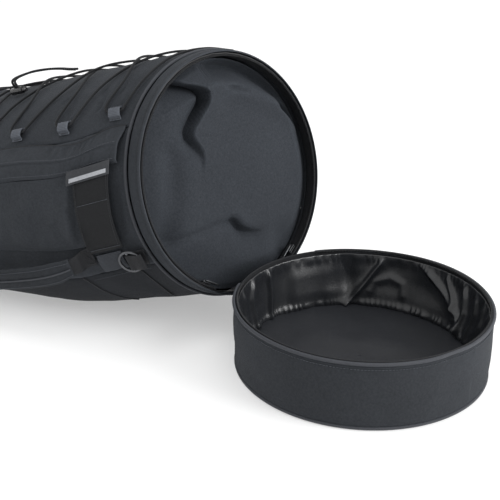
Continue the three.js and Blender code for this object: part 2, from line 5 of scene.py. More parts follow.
import bmesh
import bpy
import numpy as np
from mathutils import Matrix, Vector
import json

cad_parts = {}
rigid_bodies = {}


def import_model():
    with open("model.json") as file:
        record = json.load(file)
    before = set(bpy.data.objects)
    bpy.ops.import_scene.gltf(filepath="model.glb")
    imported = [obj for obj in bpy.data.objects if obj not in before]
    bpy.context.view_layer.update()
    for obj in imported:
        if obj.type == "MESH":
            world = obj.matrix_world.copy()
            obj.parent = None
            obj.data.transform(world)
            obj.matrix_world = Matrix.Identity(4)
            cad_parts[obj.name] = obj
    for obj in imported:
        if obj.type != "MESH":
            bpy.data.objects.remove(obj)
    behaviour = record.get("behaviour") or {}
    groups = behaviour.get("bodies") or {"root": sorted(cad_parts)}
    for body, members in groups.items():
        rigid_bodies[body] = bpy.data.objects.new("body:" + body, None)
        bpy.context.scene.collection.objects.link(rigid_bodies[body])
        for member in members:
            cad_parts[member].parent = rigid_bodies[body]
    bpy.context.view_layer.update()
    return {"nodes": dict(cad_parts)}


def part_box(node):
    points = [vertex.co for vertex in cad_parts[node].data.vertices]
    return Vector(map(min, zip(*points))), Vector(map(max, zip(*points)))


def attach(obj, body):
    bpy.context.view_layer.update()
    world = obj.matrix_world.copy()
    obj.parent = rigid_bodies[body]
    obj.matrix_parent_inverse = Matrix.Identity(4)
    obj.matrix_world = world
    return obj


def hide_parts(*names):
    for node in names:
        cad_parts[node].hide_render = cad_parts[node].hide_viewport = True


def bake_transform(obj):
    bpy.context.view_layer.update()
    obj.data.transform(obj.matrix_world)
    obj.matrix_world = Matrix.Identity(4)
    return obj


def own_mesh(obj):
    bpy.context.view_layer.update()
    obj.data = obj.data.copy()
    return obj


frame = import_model()

# The bag is worked out in millimetres from the foot of its hoop, X out of the open end, and moved
# to the row frame as each mesh is made. The pod's centre ties the two frames together.
MM = 0.001
POD_CENTRE = 168.0
pod_low, pod_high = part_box("pod_base")
ORIGIN = np.array([
    (pod_low.x + pod_high.x) / 2 - POD_CENTRE * MM,
    (pod_low.y + pod_high.y) / 2,
    0.0,
])

HOOP_RADIUS, HOOP_LEAN, HOOP_FOOT, BAND_DEPTH = 155.0, math.radians(14.5), 38.0, 22.0
POD_RADIUS, POD_HEIGHT, POD_STITCH_HEIGHT = 150.0, 82.0, 73.4
HINGE_HALF_ANGLE = math.radians(28)
BODY_LENGTH, BODY_YAW, MITRE, LEAN_FADE = 600.0, math.radians(16), 220.0, 240.0
SOFT_SQUARE, END_SQUARE = 2.9, 2.25
LACE_NEAR_ANGLE, LACE_FAR_ANGLE = 50.0, -24.0
LACE_NEAR = [63, 198, 274, 338, 402, 466]
LACE_FAR = [48, 165, 255, 325, 390, 455]
CORD_RADIUS = 1.6
HANDLE_START, HANDLE_END = 150.0, 370.0
LOCK_RADIUS, LOCK_LENGTH, CORD_SLOT = 4.8, 20.0, -1.0
HOOP_TOP = HOOP_FOOT + 2 * HOOP_RADIUS * math.cos(HOOP_LEAN)
STATIONS = np.array([
    [0, HOOP_TOP, HOOP_RADIUS, HOOP_FOOT],
    [120, 324, 158, 12],
    [240, 303, 166, -5],
    [360, 268, 177, -10],
    [480, 247, 178, -9],
    [BODY_LENGTH, 250, 158, 6],
])
MM_PER_DEGREE = 2.85


# ---- Numbers and places ---------------------------------------------------------------------
def fade(x, start, end):
    t = np.clip((np.asarray(x, float) - start) / (end - start), 0, 1)
    return t * t * (3 - 2 * t)


def lerp(a, b, t):
    return a + (b - a) * t


def bell(x, width):
    """A smooth hump, 1 where x is 0 and near 0 beyond twice the width."""
    return np.exp(-((x / width) ** 2))


def eased(share, start, end):
    """Grows from nothing over the start of a line and goes back to nothing over its end."""
    return fade(share, 0.0, start) * fade(1 - share, 0.0, end)


def hermite(t, a, slope_a, b, slope_b):
    """A smooth step from a to b that leaves and arrives with the slopes given."""
    return (
        (2 * t**3 - 3 * t**2 + 1) * a + (t**3 - 2 * t**2 + t) * slope_a
        + (3 * t**2 - 2 * t**3) * b + (t**3 - t**2) * slope_b
    )


def grid(rows, columns):
    return np.meshgrid(rows, columns, indexing="ij")


def spread(*values):
    """Numbers and arrays as arrays of one shape."""
    return np.broadcast_arrays(*(np.asarray(v, float) for v in values))


def lengths(line):
    """How far along a line each of its points is."""
    return np.concatenate([[0], np.linalg.norm(np.diff(line, axis=0), axis=1).cumsum()])


def sample(values, reach, at):
    """Rows of values read at places between those in reach."""
    return np.stack([np.interp(at, reach, column) for column in values.T], axis=-1)


def looped(line):
    return np.concatenate([line, line[:1]])


TABLES = {}


def noise(u, v, seed, wrap=64):
    """Smooth noise from -1 to 1, one bump to a unit. v repeats after wrap units."""
    if seed not in TABLES:
        TABLES[seed] = np.random.default_rng(seed).uniform(-1, 1, (64, 64))
    table = TABLES[seed]
    u, v = spread(u, v)
    i, j = np.floor(u).astype(int), np.floor(v).astype(int)
    a, b = u - i, v - j
    a, b = (t**3 * (t * (6 * t - 15) + 10) for t in (a, b))

    def at(di, dj):
        return table[(i + di) % 64, ((j + dj) % wrap) % 64]

    return lerp(lerp(at(0, 0), at(1, 0), a), lerp(at(0, 1), at(1, 1), a), b)


def near_line(u, v, points):
    """Distance from a run of straight lines, which side of it (+1 left), and the share along it."""
    best = np.full(np.shape(u), 1e9)
    side, share = np.zeros(np.shape(u)), np.zeros(np.shape(u))
    for k, (a, b) in enumerate(zip(points[:-1], points[1:])):
        du, dv = b[0] - a[0], b[1] - a[1]
        t = np.clip(((u - a[0]) * du + (v - a[1]) * dv) / (du * du + dv * dv), 0, 1)
        x, y = u - a[0] - t * du, v - a[1] - t * dv
        distance = np.hypot(x, y)
        closer = distance < best
        best = np.where(closer, distance, best)
        side = np.where(closer, np.sign(du * y - dv * x), side)
        share = np.where(closer, (k + t) / (len(points) - 1), share)
    return best, side, share


def station(column, distance):
    x, y, last = STATIONS[:, 0], STATIONS[:, column], len(STATIONS) - 1
    slopes = np.array([
        (y[min(k + 1, last)] - y[max(k - 1, 0)]) / (x[min(k + 1, last)] - x[max(k - 1, 0)])
        for k in range(last + 1)
    ])
    i = np.clip(np.searchsorted(x[1:], distance, side="left"), 0, last - 1)
    span = x[i + 1] - x[i]
    t = (distance - x[i]) / span
    return hermite(t, y[i], span * slopes[i], y[i + 1], span * slopes[i + 1])


def skin(distance, degrees, outside=0.0):
    """Points on the bag: distance behind the hoop, degrees from the top towards the near side."""
    distance, degrees, outside = spread(distance, degrees, outside)
    settle = fade(distance, 0, LEAN_FADE)
    lean = HOOP_LEAN * (1 - settle)
    yaw = BODY_YAW * fade(distance, BAND_DEPTH, MITRE)
    top, underside = station(1, distance), station(3, distance)
    height = (top - underside) / 2 / np.cos(lean) + outside
    width = station(2, distance) + outside
    to_end = fade(distance, BODY_LENGTH - 150, BODY_LENGTH)
    square = lerp(lerp(2, SOFT_SQUARE, settle), END_SQUARE, to_end)
    c, s = np.cos(np.radians(degrees)), np.sin(np.radians(degrees))
    power = np.where(c >= 0, 2.0, square)
    r = (np.abs(c) ** power + np.abs(s) ** power) ** (-1 / power)
    back = -height * r * c * np.sin(lean)
    side = -width * r * s
    up = (top + underside) / 2 + height * r * c * np.cos(lean)
    x = (
        -distance * math.cos(BODY_YAW)
        - HOOP_RADIUS * math.sin(HOOP_LEAN) * (1 - settle)
        + back * np.cos(yaw)
        - side * np.sin(yaw)
    )
    y = (
        -np.maximum(distance - BAND_DEPTH, 0) * math.sin(BODY_YAW)
        + back * np.sin(yaw)
        + side * np.cos(yaw)
    )
    return np.stack([x, y, np.maximum(up, np.maximum(0, -outside))], axis=-1)


def unit(v):
    v = np.asarray(v, float)
    return v / np.maximum(np.linalg.norm(v, axis=-1, keepdims=True), 1e-12)


def place_on(distance, degrees, outside=0.0):
    """At, along, round and out on the bag, for one place or many."""
    distance, degrees, outside = spread(distance, degrees, outside)
    along = unit(skin(distance + 0.5, degrees) - skin(distance - 0.5, degrees))
    out = unit(np.cross(along, unit(skin(distance, degrees + 0.5) - skin(distance, degrees - 0.5))))
    at = skin(distance, degrees) + out * outside[..., None]
    return at, along, np.cross(out, along), out


HOOP_OUT = np.array([math.cos(HOOP_LEAN), 0, math.sin(HOOP_LEAN)])
HOOP_UP = np.array([-math.sin(HOOP_LEAN), 0, math.cos(HOOP_LEAN)])
ACROSS = np.array([0.0, 1.0, 0.0])
HOOP_CENTRE = HOOP_RADIUS * HOOP_UP + np.array([0, 0, HOOP_FOOT])


def on_hoop(x, y, z):
    """A point of the hoop's own frame: out of the mouth, across, and up in the hoop's plane."""
    x, y, z = spread(x, y, z)
    return HOOP_CENTRE + x[..., None] * HOOP_OUT + y[..., None] * ACROSS + z[..., None] * HOOP_UP


def on_end(x, y, z):
    """A point of the far end's frame, X into the bag."""
    x, y, z = spread(x, y, z)
    c, s = math.cos(BODY_YAW), math.sin(BODY_YAW)
    return np.stack([
        -BODY_LENGTH * c + x * c - y * s,
        -(BODY_LENGTH - BAND_DEPTH) * s + x * s + y * c,
        z,
    ], axis=-1)


def on_pod(r, angle, z):
    """A point of the pod, its angle measured from the far side of the hinge."""
    return np.stack(spread(POD_CENTRE + r * np.cos(angle), r * np.sin(angle), z), axis=-1)


def curve(points, count):
    """A smooth line through the points, in equal steps."""
    p = np.asarray(points, float)
    p = np.vstack([2 * p[0] - p[1], p, 2 * p[-1] - p[-2]])
    line = []
    s = np.linspace(0, 1, 24, endpoint=False)[:, None]
    for k in range(1, len(p) - 2):
        p0, p1, p2, p3 = p[k - 1 : k + 3]
        d0, d1, d2 = (max(np.linalg.norm(q), 1e-6) ** 0.5 for q in (p1 - p0, p2 - p1, p3 - p2))
        t1 = ((p1 - p0) / d0 - (p2 - p0) / (d0 + d1) + (p2 - p1) / d1) * d1
        t2 = ((p2 - p1) / d1 - (p3 - p1) / (d1 + d2) + (p3 - p2) / d2) * d1
        line.append(hermite(s, p1, t1, p2, t2))
    line = np.vstack([*line, p[-2:-1]])
    reach = lengths(line)
    return sample(line, reach, np.linspace(0, reach[-1], count))


# ---- Meshes ---------------------------------------------------------------------------------
CLOTH_MAP = "cloth"
NO_MAP = [0] * 99  # one cloth position everywhere, for pieces too small to show a weave


def make(name, points, faces, uvs):
    """A mesh object from points in millimetres, faces, and a cloth position in metres per corner."""
    points = np.asarray(points, float)
    volume = 0.0
    for size in {len(f) for f in faces}:
        group = np.array([f for f in faces if len(f) == size])
        a = points[group[:, 0]]
        for k in range(1, size - 1):
            b, c = points[group[:, k]], points[group[:, k + 1]]
            volume += float((a * np.cross(b, c)).sum())
    if volume < 0:
        faces = [f[::-1] for f in faces]
        uvs = [c[::-1] for c in uvs]
    mesh = bpy.data.meshes.new(name)
    mesh.from_pydata((points * MM + ORIGIN).tolist(), [], [list(map(int, f)) for f in faces])
    layer = mesh.uv_layers.new(name=CLOTH_MAP)
    layer.data.foreach_set("uv", np.array([c for f in uvs for c in f], np.float32).ravel())
    mesh.update()
    mesh.shade_smooth()
    obj = bpy.data.objects.new(name, mesh)
    bpy.context.scene.collection.objects.link(obj)
    return obj


def reaches(points, wrap_rows=False, wrap_columns=False):
    """Metres along the rows and the columns of a grid of points."""
    rows = points if not wrap_rows else np.concatenate([points, points[:1]])
    columns = points if not wrap_columns else np.concatenate([points, points[:, :1]], axis=1)
    u = np.linalg.norm(np.diff(rows, axis=0), axis=-1).mean(axis=1).cumsum()
    v = np.linalg.norm(np.diff(columns, axis=1), axis=-1).mean(axis=0).cumsum()
    return np.concatenate([[0], u]) * MM, np.concatenate([[0], v]) * MM


def grid_faces(rows, columns, wrap_rows, wrap_columns, u, v, start=0):
    faces, uvs = [], []
    for i in range(rows if wrap_rows else rows - 1):
        n = (i + 1) % rows
        for j in range(columns if wrap_columns else columns - 1):
            k = (j + 1) % columns
            faces.append((
                start + i * columns + j, start + n * columns + j,
                start + n * columns + k, start + i * columns + k,
            ))
            uvs.append(((u[i], v[j]), (u[i + 1], v[j]), (u[i + 1], v[j + 1]), (u[i], v[j + 1])))
    return faces, uvs


def sheet(name, outer, inner, wrap=False):
    """Cloth with thickness between two grids of points, closed round its edges."""
    rows, columns = outer.shape[:2]
    u, v = reaches(outer, wrap_columns=wrap)
    faces, uvs = grid_faces(rows, columns, False, wrap, u, v)
    half = rows * columns
    back = [tuple(q + half for q in f[::-1]) for f in faces]
    back_uvs = [c[::-1] for c in uvs]
    rim, rim_uvs = [], []

    def edge(a, b, ua, ub):
        rim.append((a, a + half, b + half, b))
        rim_uvs.append((ua, ua, ub, ub))

    for j in range(columns if wrap else columns - 1):
        k = (j + 1) % columns
        edge(k, j, (u[0], v[j + 1]), (u[0], v[j]))
        last = (rows - 1) * columns
        edge(last + j, last + k, (u[-1], v[j]), (u[-1], v[j + 1]))
    if not wrap:
        for i in range(rows - 1):
            edge(i * columns, (i + 1) * columns, (u[i], v[0]), (u[i + 1], v[0]))
            a, b = (i + 1) * columns + columns - 1, i * columns + columns - 1
            edge(a, b, (u[i + 1], v[-1]), (u[i], v[-1]))
    points = np.concatenate([outer.reshape(-1, 3), inner.reshape(-1, 3)])
    return make(name, points, faces + back + rim, uvs + back_uvs + rim_uvs)


def loft(name, sections, closed=False):
    """Sections joined in order, closed round on themselves or capped."""
    sections = np.asarray(sections, float)
    rows, columns = sections.shape[:2]
    u, v = reaches(sections, wrap_rows=closed, wrap_columns=True)
    faces, uvs = grid_faces(rows, columns, closed, True, u, v)
    if not closed:
        first = tuple(range(columns))
        last = tuple((rows - 1) * columns + j for j in reversed(range(columns)))
        faces += [first, last]
        uvs += [tuple((u[0], v[j]) for j in first), tuple((u[-1], v[j]) for j in reversed(first))]
    return make(name, sections.reshape(-1, 3), faces, uvs)


def frames(path, closed=False, up=None):
    """Directions across a path: given, or carried along it without twist."""
    if closed:
        tangent = unit(np.roll(path, -1, axis=0) - np.roll(path, 1, axis=0))
    else:
        tangent = unit(np.gradient(path, axis=0))
    if up is None:
        guess = [0, 0, 1] if abs(tangent[0][2]) < 0.8 else [1, 0, 0]
        normal = unit(np.cross(tangent[0], guess))
        up = []
        for t in tangent:
            normal = unit(normal - t * (normal @ t))
            up.append(normal)
    up = unit(np.asarray(up) - tangent * (np.asarray(up) * tangent).sum(-1, keepdims=True))
    return up, np.cross(tangent, up)


def tube(name, path, radius, sides=10, closed=False, up=None):
    path = np.asarray(path, float)
    a, b = frames(path, closed, up)
    turn = np.arange(sides) / sides * math.tau
    radius = np.broadcast_to(radius, (len(path),))
    ring = (
        a[:, None] * np.cos(turn)[None, :, None] + b[:, None] * np.sin(turn)[None, :, None]
    ) * radius[:, None, None]
    return loft(name, path[:, None] + ring, closed)


WEB_SECTION = [(-1, 0), (-0.985, 0.62), (-0.94, 1), (-0.5, 1), (0, 1), (0.5, 1), (0.94, 1)]
WEB_SECTION += [(0.985, 0.62), (1, 0)]
WEB_SECTION += [(-w, -h) for w, h in WEB_SECTION[1:-1]]


def ribbon(name, at, wide, up, width, thickness, count):
    """Flat webbing along places, with rolled edges. width may change along it."""
    at, wide, up = spread(at, wide, up)
    line, reach = curve(at, count), lengths(at)
    new = lengths(line)
    new = new / new[-1] * reach[-1]
    at, wide, up = line, unit(sample(wide, reach, new)), unit(sample(up, reach, new))
    width = np.interp(new, reach, np.broadcast_to(width, reach.shape))
    w, h = np.array(WEB_SECTION).T
    sections = (
        at[:, None]
        + wide[:, None] * (w[None, :, None] * width[:, None, None] / 2)
        + up[:, None] * (h[None, :, None] * thickness / 2)
    )
    return loft(name, sections)


def join(name, pieces):
    """Joins mesh objects into one."""
    for o in bpy.context.view_layer.objects:
        o.select_set(False)
    for o in pieces:
        o.select_set(True)
    bpy.context.view_layer.objects.active = pieces[0]
    bpy.ops.object.join()
    pieces[0].name = name
    pieces[0].data.name = name
    return pieces[0]


def stitches(name, at, up, pitch=3.4, length=2.3, radius=0.34):
    """A row of short arched threads along a line."""
    at, up = spread(at, up)
    reach = lengths(at)
    points, faces, uvs = [], [], []
    sides, profile = 5, [(-0.5, -0.3), (-0.3, 0.25), (0.3, 0.25), (0.5, -0.3)]
    for centre in np.arange(pitch / 2, reach[-1] - pitch / 2, pitch):
        middle, normal = sample(at, reach, centre), unit(sample(up, reach, centre))
        along = unit(sample(at, reach, centre + 0.8) - sample(at, reach, centre - 0.8))
        across = np.cross(normal, along)
        start = len(points)
        for s, h in profile:
            for k in range(sides):
                turn = k / sides * math.tau
                points.append(
                    middle + along * s * length
                    + normal * (h + radius * math.cos(turn)) + across * radius * math.sin(turn)
                )
        f, q = grid_faces(len(profile), sides, False, True, NO_MAP, NO_MAP, start)
        faces += f
        uvs += q
        last = start + (len(profile) - 1) * sides
        faces += [tuple(range(start, start + sides)), tuple(reversed(range(last, last + sides)))]
        uvs += [((0, 0),) * sides] * 2
    return make(name, points, faces, uvs)


# ---- Materials ------------------------------------------------------------------------------
def material(name, color, roughness, metallic=0.0, **sockets):
    m = bpy.data.materials.new(name)
    m.use_nodes = True
    shader = m.node_tree.nodes["Principled BSDF"]
    shader.inputs["Base Color"].default_value = (*color, 1)
    shader.inputs["Roughness"].default_value = roughness
    shader.inputs["Metallic"].default_value = metallic
    for socket, value in sockets.items():
        shader.inputs[socket.replace("_", " ")].default_value = value
    return m, m.node_tree, shader


def node(tree, kind, sources=(), **settings):
    """Adds a node. sources maps an input's name or place to a socket or a value."""
    n = tree.nodes.new("ShaderNode" + kind)
    for key, value in settings.items():
        setattr(n, key, value)
    for key, value in dict(sources).items():
        if isinstance(value, bpy.types.NodeSocket):
            tree.links.new(value, n.inputs[key])
        else:
            n.inputs[key].default_value = value
    return n


def maths(tree, operation, a, b=0.0):
    return node(tree, "Math", {0: a, 1: b}, operation=operation).outputs[0]


def shades(tree, factor, stops):
    ramp = node(tree, "ValToRGB", {0: factor})
    elements = ramp.color_ramp.elements
    while len(elements) < len(stops):
        elements.new(0.5)
    for element, (place, color) in zip(elements, stops):
        element.position = place
        element.color = (*color, 1)
    return ramp.outputs[0]


def scaled(color, k):
    return tuple(c * k for c in color)


def woven(name, color, pitch=0.9, roughness=0.82, ribs=None, weave=0.35, mottle=0.22,
          bump=0.5, wear=0.2, sheen=0.12, gloss_spread=0.08, shine=0.22):
    """Cloth: a plain weave, or ribs across webbing, with mottled dye, worn edges and a soft sheen."""
    m, tree, shader = material(
        name, color, roughness, Sheen_Weight=sheen, Sheen_Roughness=0.45,
        Sheen_Tint=(*scaled(color, 6), 1), Specular_IOR_Level=shine,
    )
    place = node(tree, "UVMap", uv_map=CLOTH_MAP).outputs[0]
    solid_place = node(tree, "TexCoord").outputs["Object"]
    per = 1 / (pitch * MM)
    grain = node(tree, "Mapping", {"Vector": place, "Scale": (per, per, per)}).outputs[0]
    parts = node(tree, "SeparateXYZ", {0: grain})

    def wave(value, cycles=1.0):
        sine = maths(tree, "SINE", maths(tree, "MULTIPLY", value, math.tau * cycles))
        return node(tree, "Math", {0: sine, 1: 0.5, 2: 0.5}, operation="MULTIPLY_ADD").outputs[0]

    if ribs == "across":
        ridges, fine = wave(parts.outputs[0], 0.55), wave(parts.outputs[1])
        height = maths(tree, "ADD", maths(tree, "MULTIPLY", ridges, 0.75),
                       maths(tree, "MULTIPLY", fine, 0.25))
    elif ribs == "twill":
        height = wave(maths(tree, "ADD", parts.outputs[0], parts.outputs[1]), 0.7)
    else:
        checker = node(tree, "TexChecker", {"Vector": grain, "Scale": 1.0}).outputs["Fac"]
        warp, weft = wave(parts.outputs[0]), wave(parts.outputs[1])
        height = node(tree, "Mix", {0: checker, 2: warp, 3: weft}, data_type="FLOAT").outputs[0]
    small = node(tree, "TexNoise", {"Vector": solid_place, "Scale": 420.0, "Detail": 3.0})
    broad = node(tree, "TexNoise", {"Vector": solid_place, "Scale": 16.0, "Detail": 2.0})
    blend = maths(tree, "ADD", maths(tree, "MULTIPLY", height, weave),
                  maths(tree, "MULTIPLY", small.outputs["Fac"], 1 - weave))
    blend = maths(tree, "ADD", maths(tree, "MULTIPLY", blend, 1 - mottle),
                  maths(tree, "MULTIPLY", broad.outputs["Fac"], mottle))
    edge = node(tree, "NewGeometry").outputs["Pointiness"]
    worn = node(tree, "MapRange", {0: edge, 1: 0.5, 2: 0.58, 3: 0.0, 4: wear}).outputs[0]
    tone = maths(tree, "ADD", blend, worn)
    dark, light = scaled(color, 0.62), scaled(color, 1.5)
    colors = shades(tree, tone, [(0.25, dark), (0.5, color), (0.8, light)])
    tree.links.new(colors, shader.inputs["Base Color"])
    rough = node(tree, "MapRange", {
        0: blend, 1: 0.2, 2: 0.8, 3: min(roughness + gloss_spread, 1), 4: roughness - gloss_spread,
    }).outputs[0]
    tree.links.new(rough, shader.inputs["Roughness"])
    relief = maths(tree, "ADD", height, maths(tree, "MULTIPLY", small.outputs["Fac"], 0.8))
    bumped = node(tree, "Bump", {"Height": relief, "Strength": bump, "Distance": 0.0004})
    tree.links.new(bumped.outputs[0], shader.inputs["Normal"])
    return m


def hard(name, color, roughness, metallic=0.0, wear=0.5, **sockets):
    """Metal or plastic: fine grain in the gloss, and paler worn edges."""
    m, tree, shader = material(name, color, roughness, metallic, **sockets)
    place = node(tree, "TexCoord").outputs["Object"]
    fine = node(tree, "TexNoise", {"Vector": place, "Scale": 900.0, "Detail": 4.0})
    broad = node(tree, "TexNoise", {"Vector": place, "Scale": 90.0, "Detail": 2.0})
    edge = node(tree, "NewGeometry").outputs["Pointiness"]
    worn = node(tree, "MapRange", {0: edge, 1: 0.52, 2: 0.62, 3: 0.0, 4: wear}).outputs[0]
    tone = maths(tree, "ADD", maths(tree, "MULTIPLY", broad.outputs["Fac"], 0.5), worn)
    colors = shades(tree, tone, [
        (0.1, scaled(color, 0.7)), (0.35, color), (0.9, scaled(color, 2.2)),
    ])
    tree.links.new(colors, shader.inputs["Base Color"])
    rough = node(tree, "MapRange", {
        0: fine.outputs["Fac"], 1: 0.3, 2: 0.7, 3: roughness - 0.08, 4: roughness + 0.08,
    })
    tree.links.new(rough.outputs[0], shader.inputs["Roughness"])
    bumped = node(tree, "Bump", {
        "Height": fine.outputs["Fac"], "Strength": 0.15, "Distance": 0.0002,
    })
    tree.links.new(bumped.outputs[0], shader.inputs["Normal"])
    return m


CHARCOAL = (0.024, 0.027, 0.032)
BASE_TONE = (0.013, 0.0145, 0.0175)
charcoal = woven("charcoal_cloth", CHARCOAL)
base_cloth = woven("base_cloth", BASE_TONE)
handle_cloth = woven("handle_cloth", scaled(CHARCOAL, 0.7))
divider_cloth = woven("divider_cloth", scaled(CHARCOAL, 1.12), pitch=0.8, roughness=0.9,
                      mottle=0.12, sheen=0.16, shine=0.12)
pod_cloth = woven("pod_cloth", scaled(CHARCOAL, 0.84), pitch=0.9)
black_web = woven("black_webbing", (0.010, 0.0105, 0.012), pitch=1.1, ribs="across", roughness=0.62)
strap_web = woven("strap_webbing", (0.0055, 0.006, 0.0072), pitch=1.3, ribs="twill", roughness=0.6,
                  sheen=0.06)
tail_web = woven("tail_webbing", (0.032, 0.035, 0.041), pitch=1.0, ribs="across", weave=0.6)
grey_web = woven("grey_webbing", (0.062, 0.068, 0.080), pitch=1.0, ribs="across", weave=0.6,
                 roughness=0.7)
tape_cloth = woven("zip_tape", (0.009, 0.0095, 0.011), pitch=0.8, ribs="twill", roughness=0.7)
lining = woven("lining_satin", (0.0095, 0.0105, 0.0125), pitch=0.35, roughness=0.31, weave=0.5,
               bump=0.12, sheen=0.05, wear=0.1, gloss_spread=0.06, shine=0.6)
floor_lining = woven("floor_lining", (0.016, 0.0172, 0.0202), pitch=0.45, roughness=0.42, bump=0.2,
                     sheen=0.15, wear=0.1)
hinge_cloth = woven("hinge_cloth", (0.010, 0.0105, 0.012), pitch=0.8, roughness=0.5)
piping_cloth = woven("piping_cloth", (0.030, 0.032, 0.037), pitch=0.8, roughness=0.6, wear=0.5)
seam_thread = woven("seam_thread", (0.045, 0.049, 0.057), pitch=0.5, ribs="twill", roughness=0.6)
dark_thread = woven("dark_thread", (0.016, 0.017, 0.019), pitch=0.5, ribs="twill", roughness=0.6)
shock_cord = woven("shock_cord", (0.0085, 0.009, 0.0105), pitch=1.0, ribs="twill", roughness=0.55,
                   bump=0.9)
label_dark = woven("label_border", (0.03, 0.032, 0.036), pitch=0.5, ribs="twill", roughness=0.5)
label_pale = woven("label_face", (0.30, 0.31, 0.33), pitch=0.5, ribs="twill", roughness=0.5,
                   weave=0.6)
gunmetal = hard("gunmetal", (0.10, 0.103, 0.11), 0.34, 0.95)
zip_metal = hard("zip_metal", (0.055, 0.057, 0.06), 0.38, 0.9)
coil_plastic = hard("zip_coil", (0.010, 0.0105, 0.012), 0.4, wear=0.2)
black_plastic = hard("black_plastic", (0.009, 0.009, 0.010), 0.24, Coat_Weight=0.3)
board_plastic = hard("board", (0.012, 0.012, 0.013), 0.6)
spring_steel = hard("spring_steel", (0.5, 0.5, 0.5), 0.3, 1.0)


def dress(obj, finish, *nodes, body="bag_body", slot=None):
    """Gives a piece its finish, and says which body it rides and which CAD nodes it replaces."""
    obj.data.materials.clear()
    obj.data.materials.append(finish)
    if body:
        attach(obj, body)
    if nodes:
        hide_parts(*nodes)
    return obj


def flat_size(points):
    """Width and length of a grid of points laid flat, in metres."""
    u, v = reaches(points)
    return float(v[-1]), float(u[-1])


# ---- Camera ---------------------------------------------------------------------------------
def row(point):
    return Vector((np.asarray(point, float) * MM + ORIGIN).tolist())


camera = bpy.data.objects.new("camera", bpy.data.cameras.new("camera"))
bpy.context.scene.collection.objects.link(camera)
FOCAL_PIXELS, FRAME_PIXELS = 880, 500
camera.data.sensor_width = 36
camera.data.lens = 36 * FOCAL_PIXELS / FRAME_PIXELS
camera.data.clip_end = 50
camera.location = row((720.4, -757.1, 530.8))
LOOK = Vector((-0.64318, 0.66135, -0.38593))
camera.rotation_mode = "QUATERNION"
camera.rotation_quaternion = LOOK.to_track_quat("-Z", "Y")
bpy.context.scene.camera = camera


# ---- Shock cord: its free tails, then the lacing --------------------------------------------
lock_at, lock_along, lock_round, lock_out = place_on(342.0, 16.0, LOCK_RADIUS + 1.4)


def in_lock(along, around, out):
    return lock_at + lock_along * along + lock_round * around + lock_out * out


def tail(side):
    _, start_along, start_round, _ = place_on(282.0, -1.0)
    points = []
    for distance, degrees, outside, turn in [
        (282, -1, 7.5, 0), (293, -1, 10, 10), (307, 0, 14.5, 25), (321, 3, 18.5, 45),
        (334, 9, 21.5, 70),
    ]:
        t = math.radians(turn)
        apart = (start_round * math.cos(t) - start_along * math.sin(t)) * side * 2.6
        points.append(place_on(distance, degrees, outside)[0] + apart)
    points.append(in_lock(CORD_SLOT - side * 2.4, 0, 14))
    points.append(in_lock(CORD_SLOT - side * 2.1, 0, LOCK_RADIUS - 0.6))
    return curve(points, 70)


def beside(distance, degrees, along_by, round_by, outside):
    at, along, around, out = place_on(distance, degrees)
    return at + along * along_by + around * round_by + out * outside


def lace_route(starts_near, crossing_height):
    middle = (LACE_NEAR_ANGLE + LACE_FAR_ANGLE) / 2
    points = [
        beside(LACE_FAR[0], LACE_FAR_ANGLE, -14.2, 9.9, 3),
        place_on(37.0, middle - 20, 2.8)[0],
        place_on(40.0, middle, 2.8)[0],
        place_on(42.0, middle + 20, 2.8)[0],
    ] if starts_near else []
    before = None
    for i in range(len(LACE_NEAR)):
        near = (i % 2 == 0) == starts_near
        distance = LACE_NEAR[i] if near else LACE_FAR[i]
        degrees = LACE_NEAR_ANGLE if near else LACE_FAR_ANGLE
        inward = -1 if near else 1
        if before is not None:
            for share, offset, height in [
                (0.27, 17 * inward, 2.8), (0.5, 0, crossing_height), (0.73, -17 * inward, 2.8),
            ]:
                points.append(place_on(lerp(before, distance, share), middle + offset, height)[0])
        for along_by, round_by in [(-13, 8), (-9, 1.6), (0, 0), (9, 1.6), (13, 8)]:
            points.append(beside(distance, degrees, along_by, inward * round_by, 3))
        before = distance
    return points


tails = []
for letter, side in (("a", 1), ("b", -1)):
    path = tail(side)
    tails.append((path, dress(tube(f"tail_of_cord_{letter}", path, CORD_RADIUS, 12), shock_cord,
                              f"tail_cord_{letter}")))
    lace = curve(lace_route(letter == "a", 6.6 if letter == "a" else 2.4), 420)
    dress(tube(f"lacing_{letter}", lace, CORD_RADIUS, 10), shock_cord, f"lace_cord_{letter}")


# ---- Cord lock ------------------------------------------------------------------------------
def lathe(name, profile, axis_point, segments=36):
    """A turned piece: profile of (radius, place along the axis) and a function of (x, y, z)."""
    turn = np.arange(segments) / segments * math.tau
    points = [axis_point(x, r * math.cos(t), r * math.sin(t)) for r, x in profile for t in turn]
    faces, uvs = grid_faces(len(profile), segments, False, True, NO_MAP, NO_MAP)
    caps = [tuple(range(segments)),
            tuple(range((len(profile) - 1) * segments, len(profile) * segments))[::-1]]
    return make(name, points, faces + caps, uvs + [((0, 0),) * segments] * 2)


def boxed(name, size, centre, axes, bevel, segments=2):
    """A box with rounded edges, size and centre in millimetres along three axes."""
    bm = bmesh.new()
    bmesh.ops.create_cube(bm, size=1)
    for v in bm.verts:
        v.co = Vector((v.co.x * size[0], v.co.y * size[1], v.co.z * size[2]))
    bmesh.ops.bevel(bm, geom=bm.edges[:], offset=bevel, segments=segments, profile=0.6,
                    affect="EDGES")
    points = [np.asarray(centre, float) + sum(np.asarray(a) * c for a, c in zip(axes, v.co))
              for v in bm.verts]
    bm.verts.index_update()
    faces = [tuple(v.index for v in f.verts) for f in bm.faces]
    bm.free()
    return make(name, points, faces, [((0, 0),) * len(f) for f in faces])


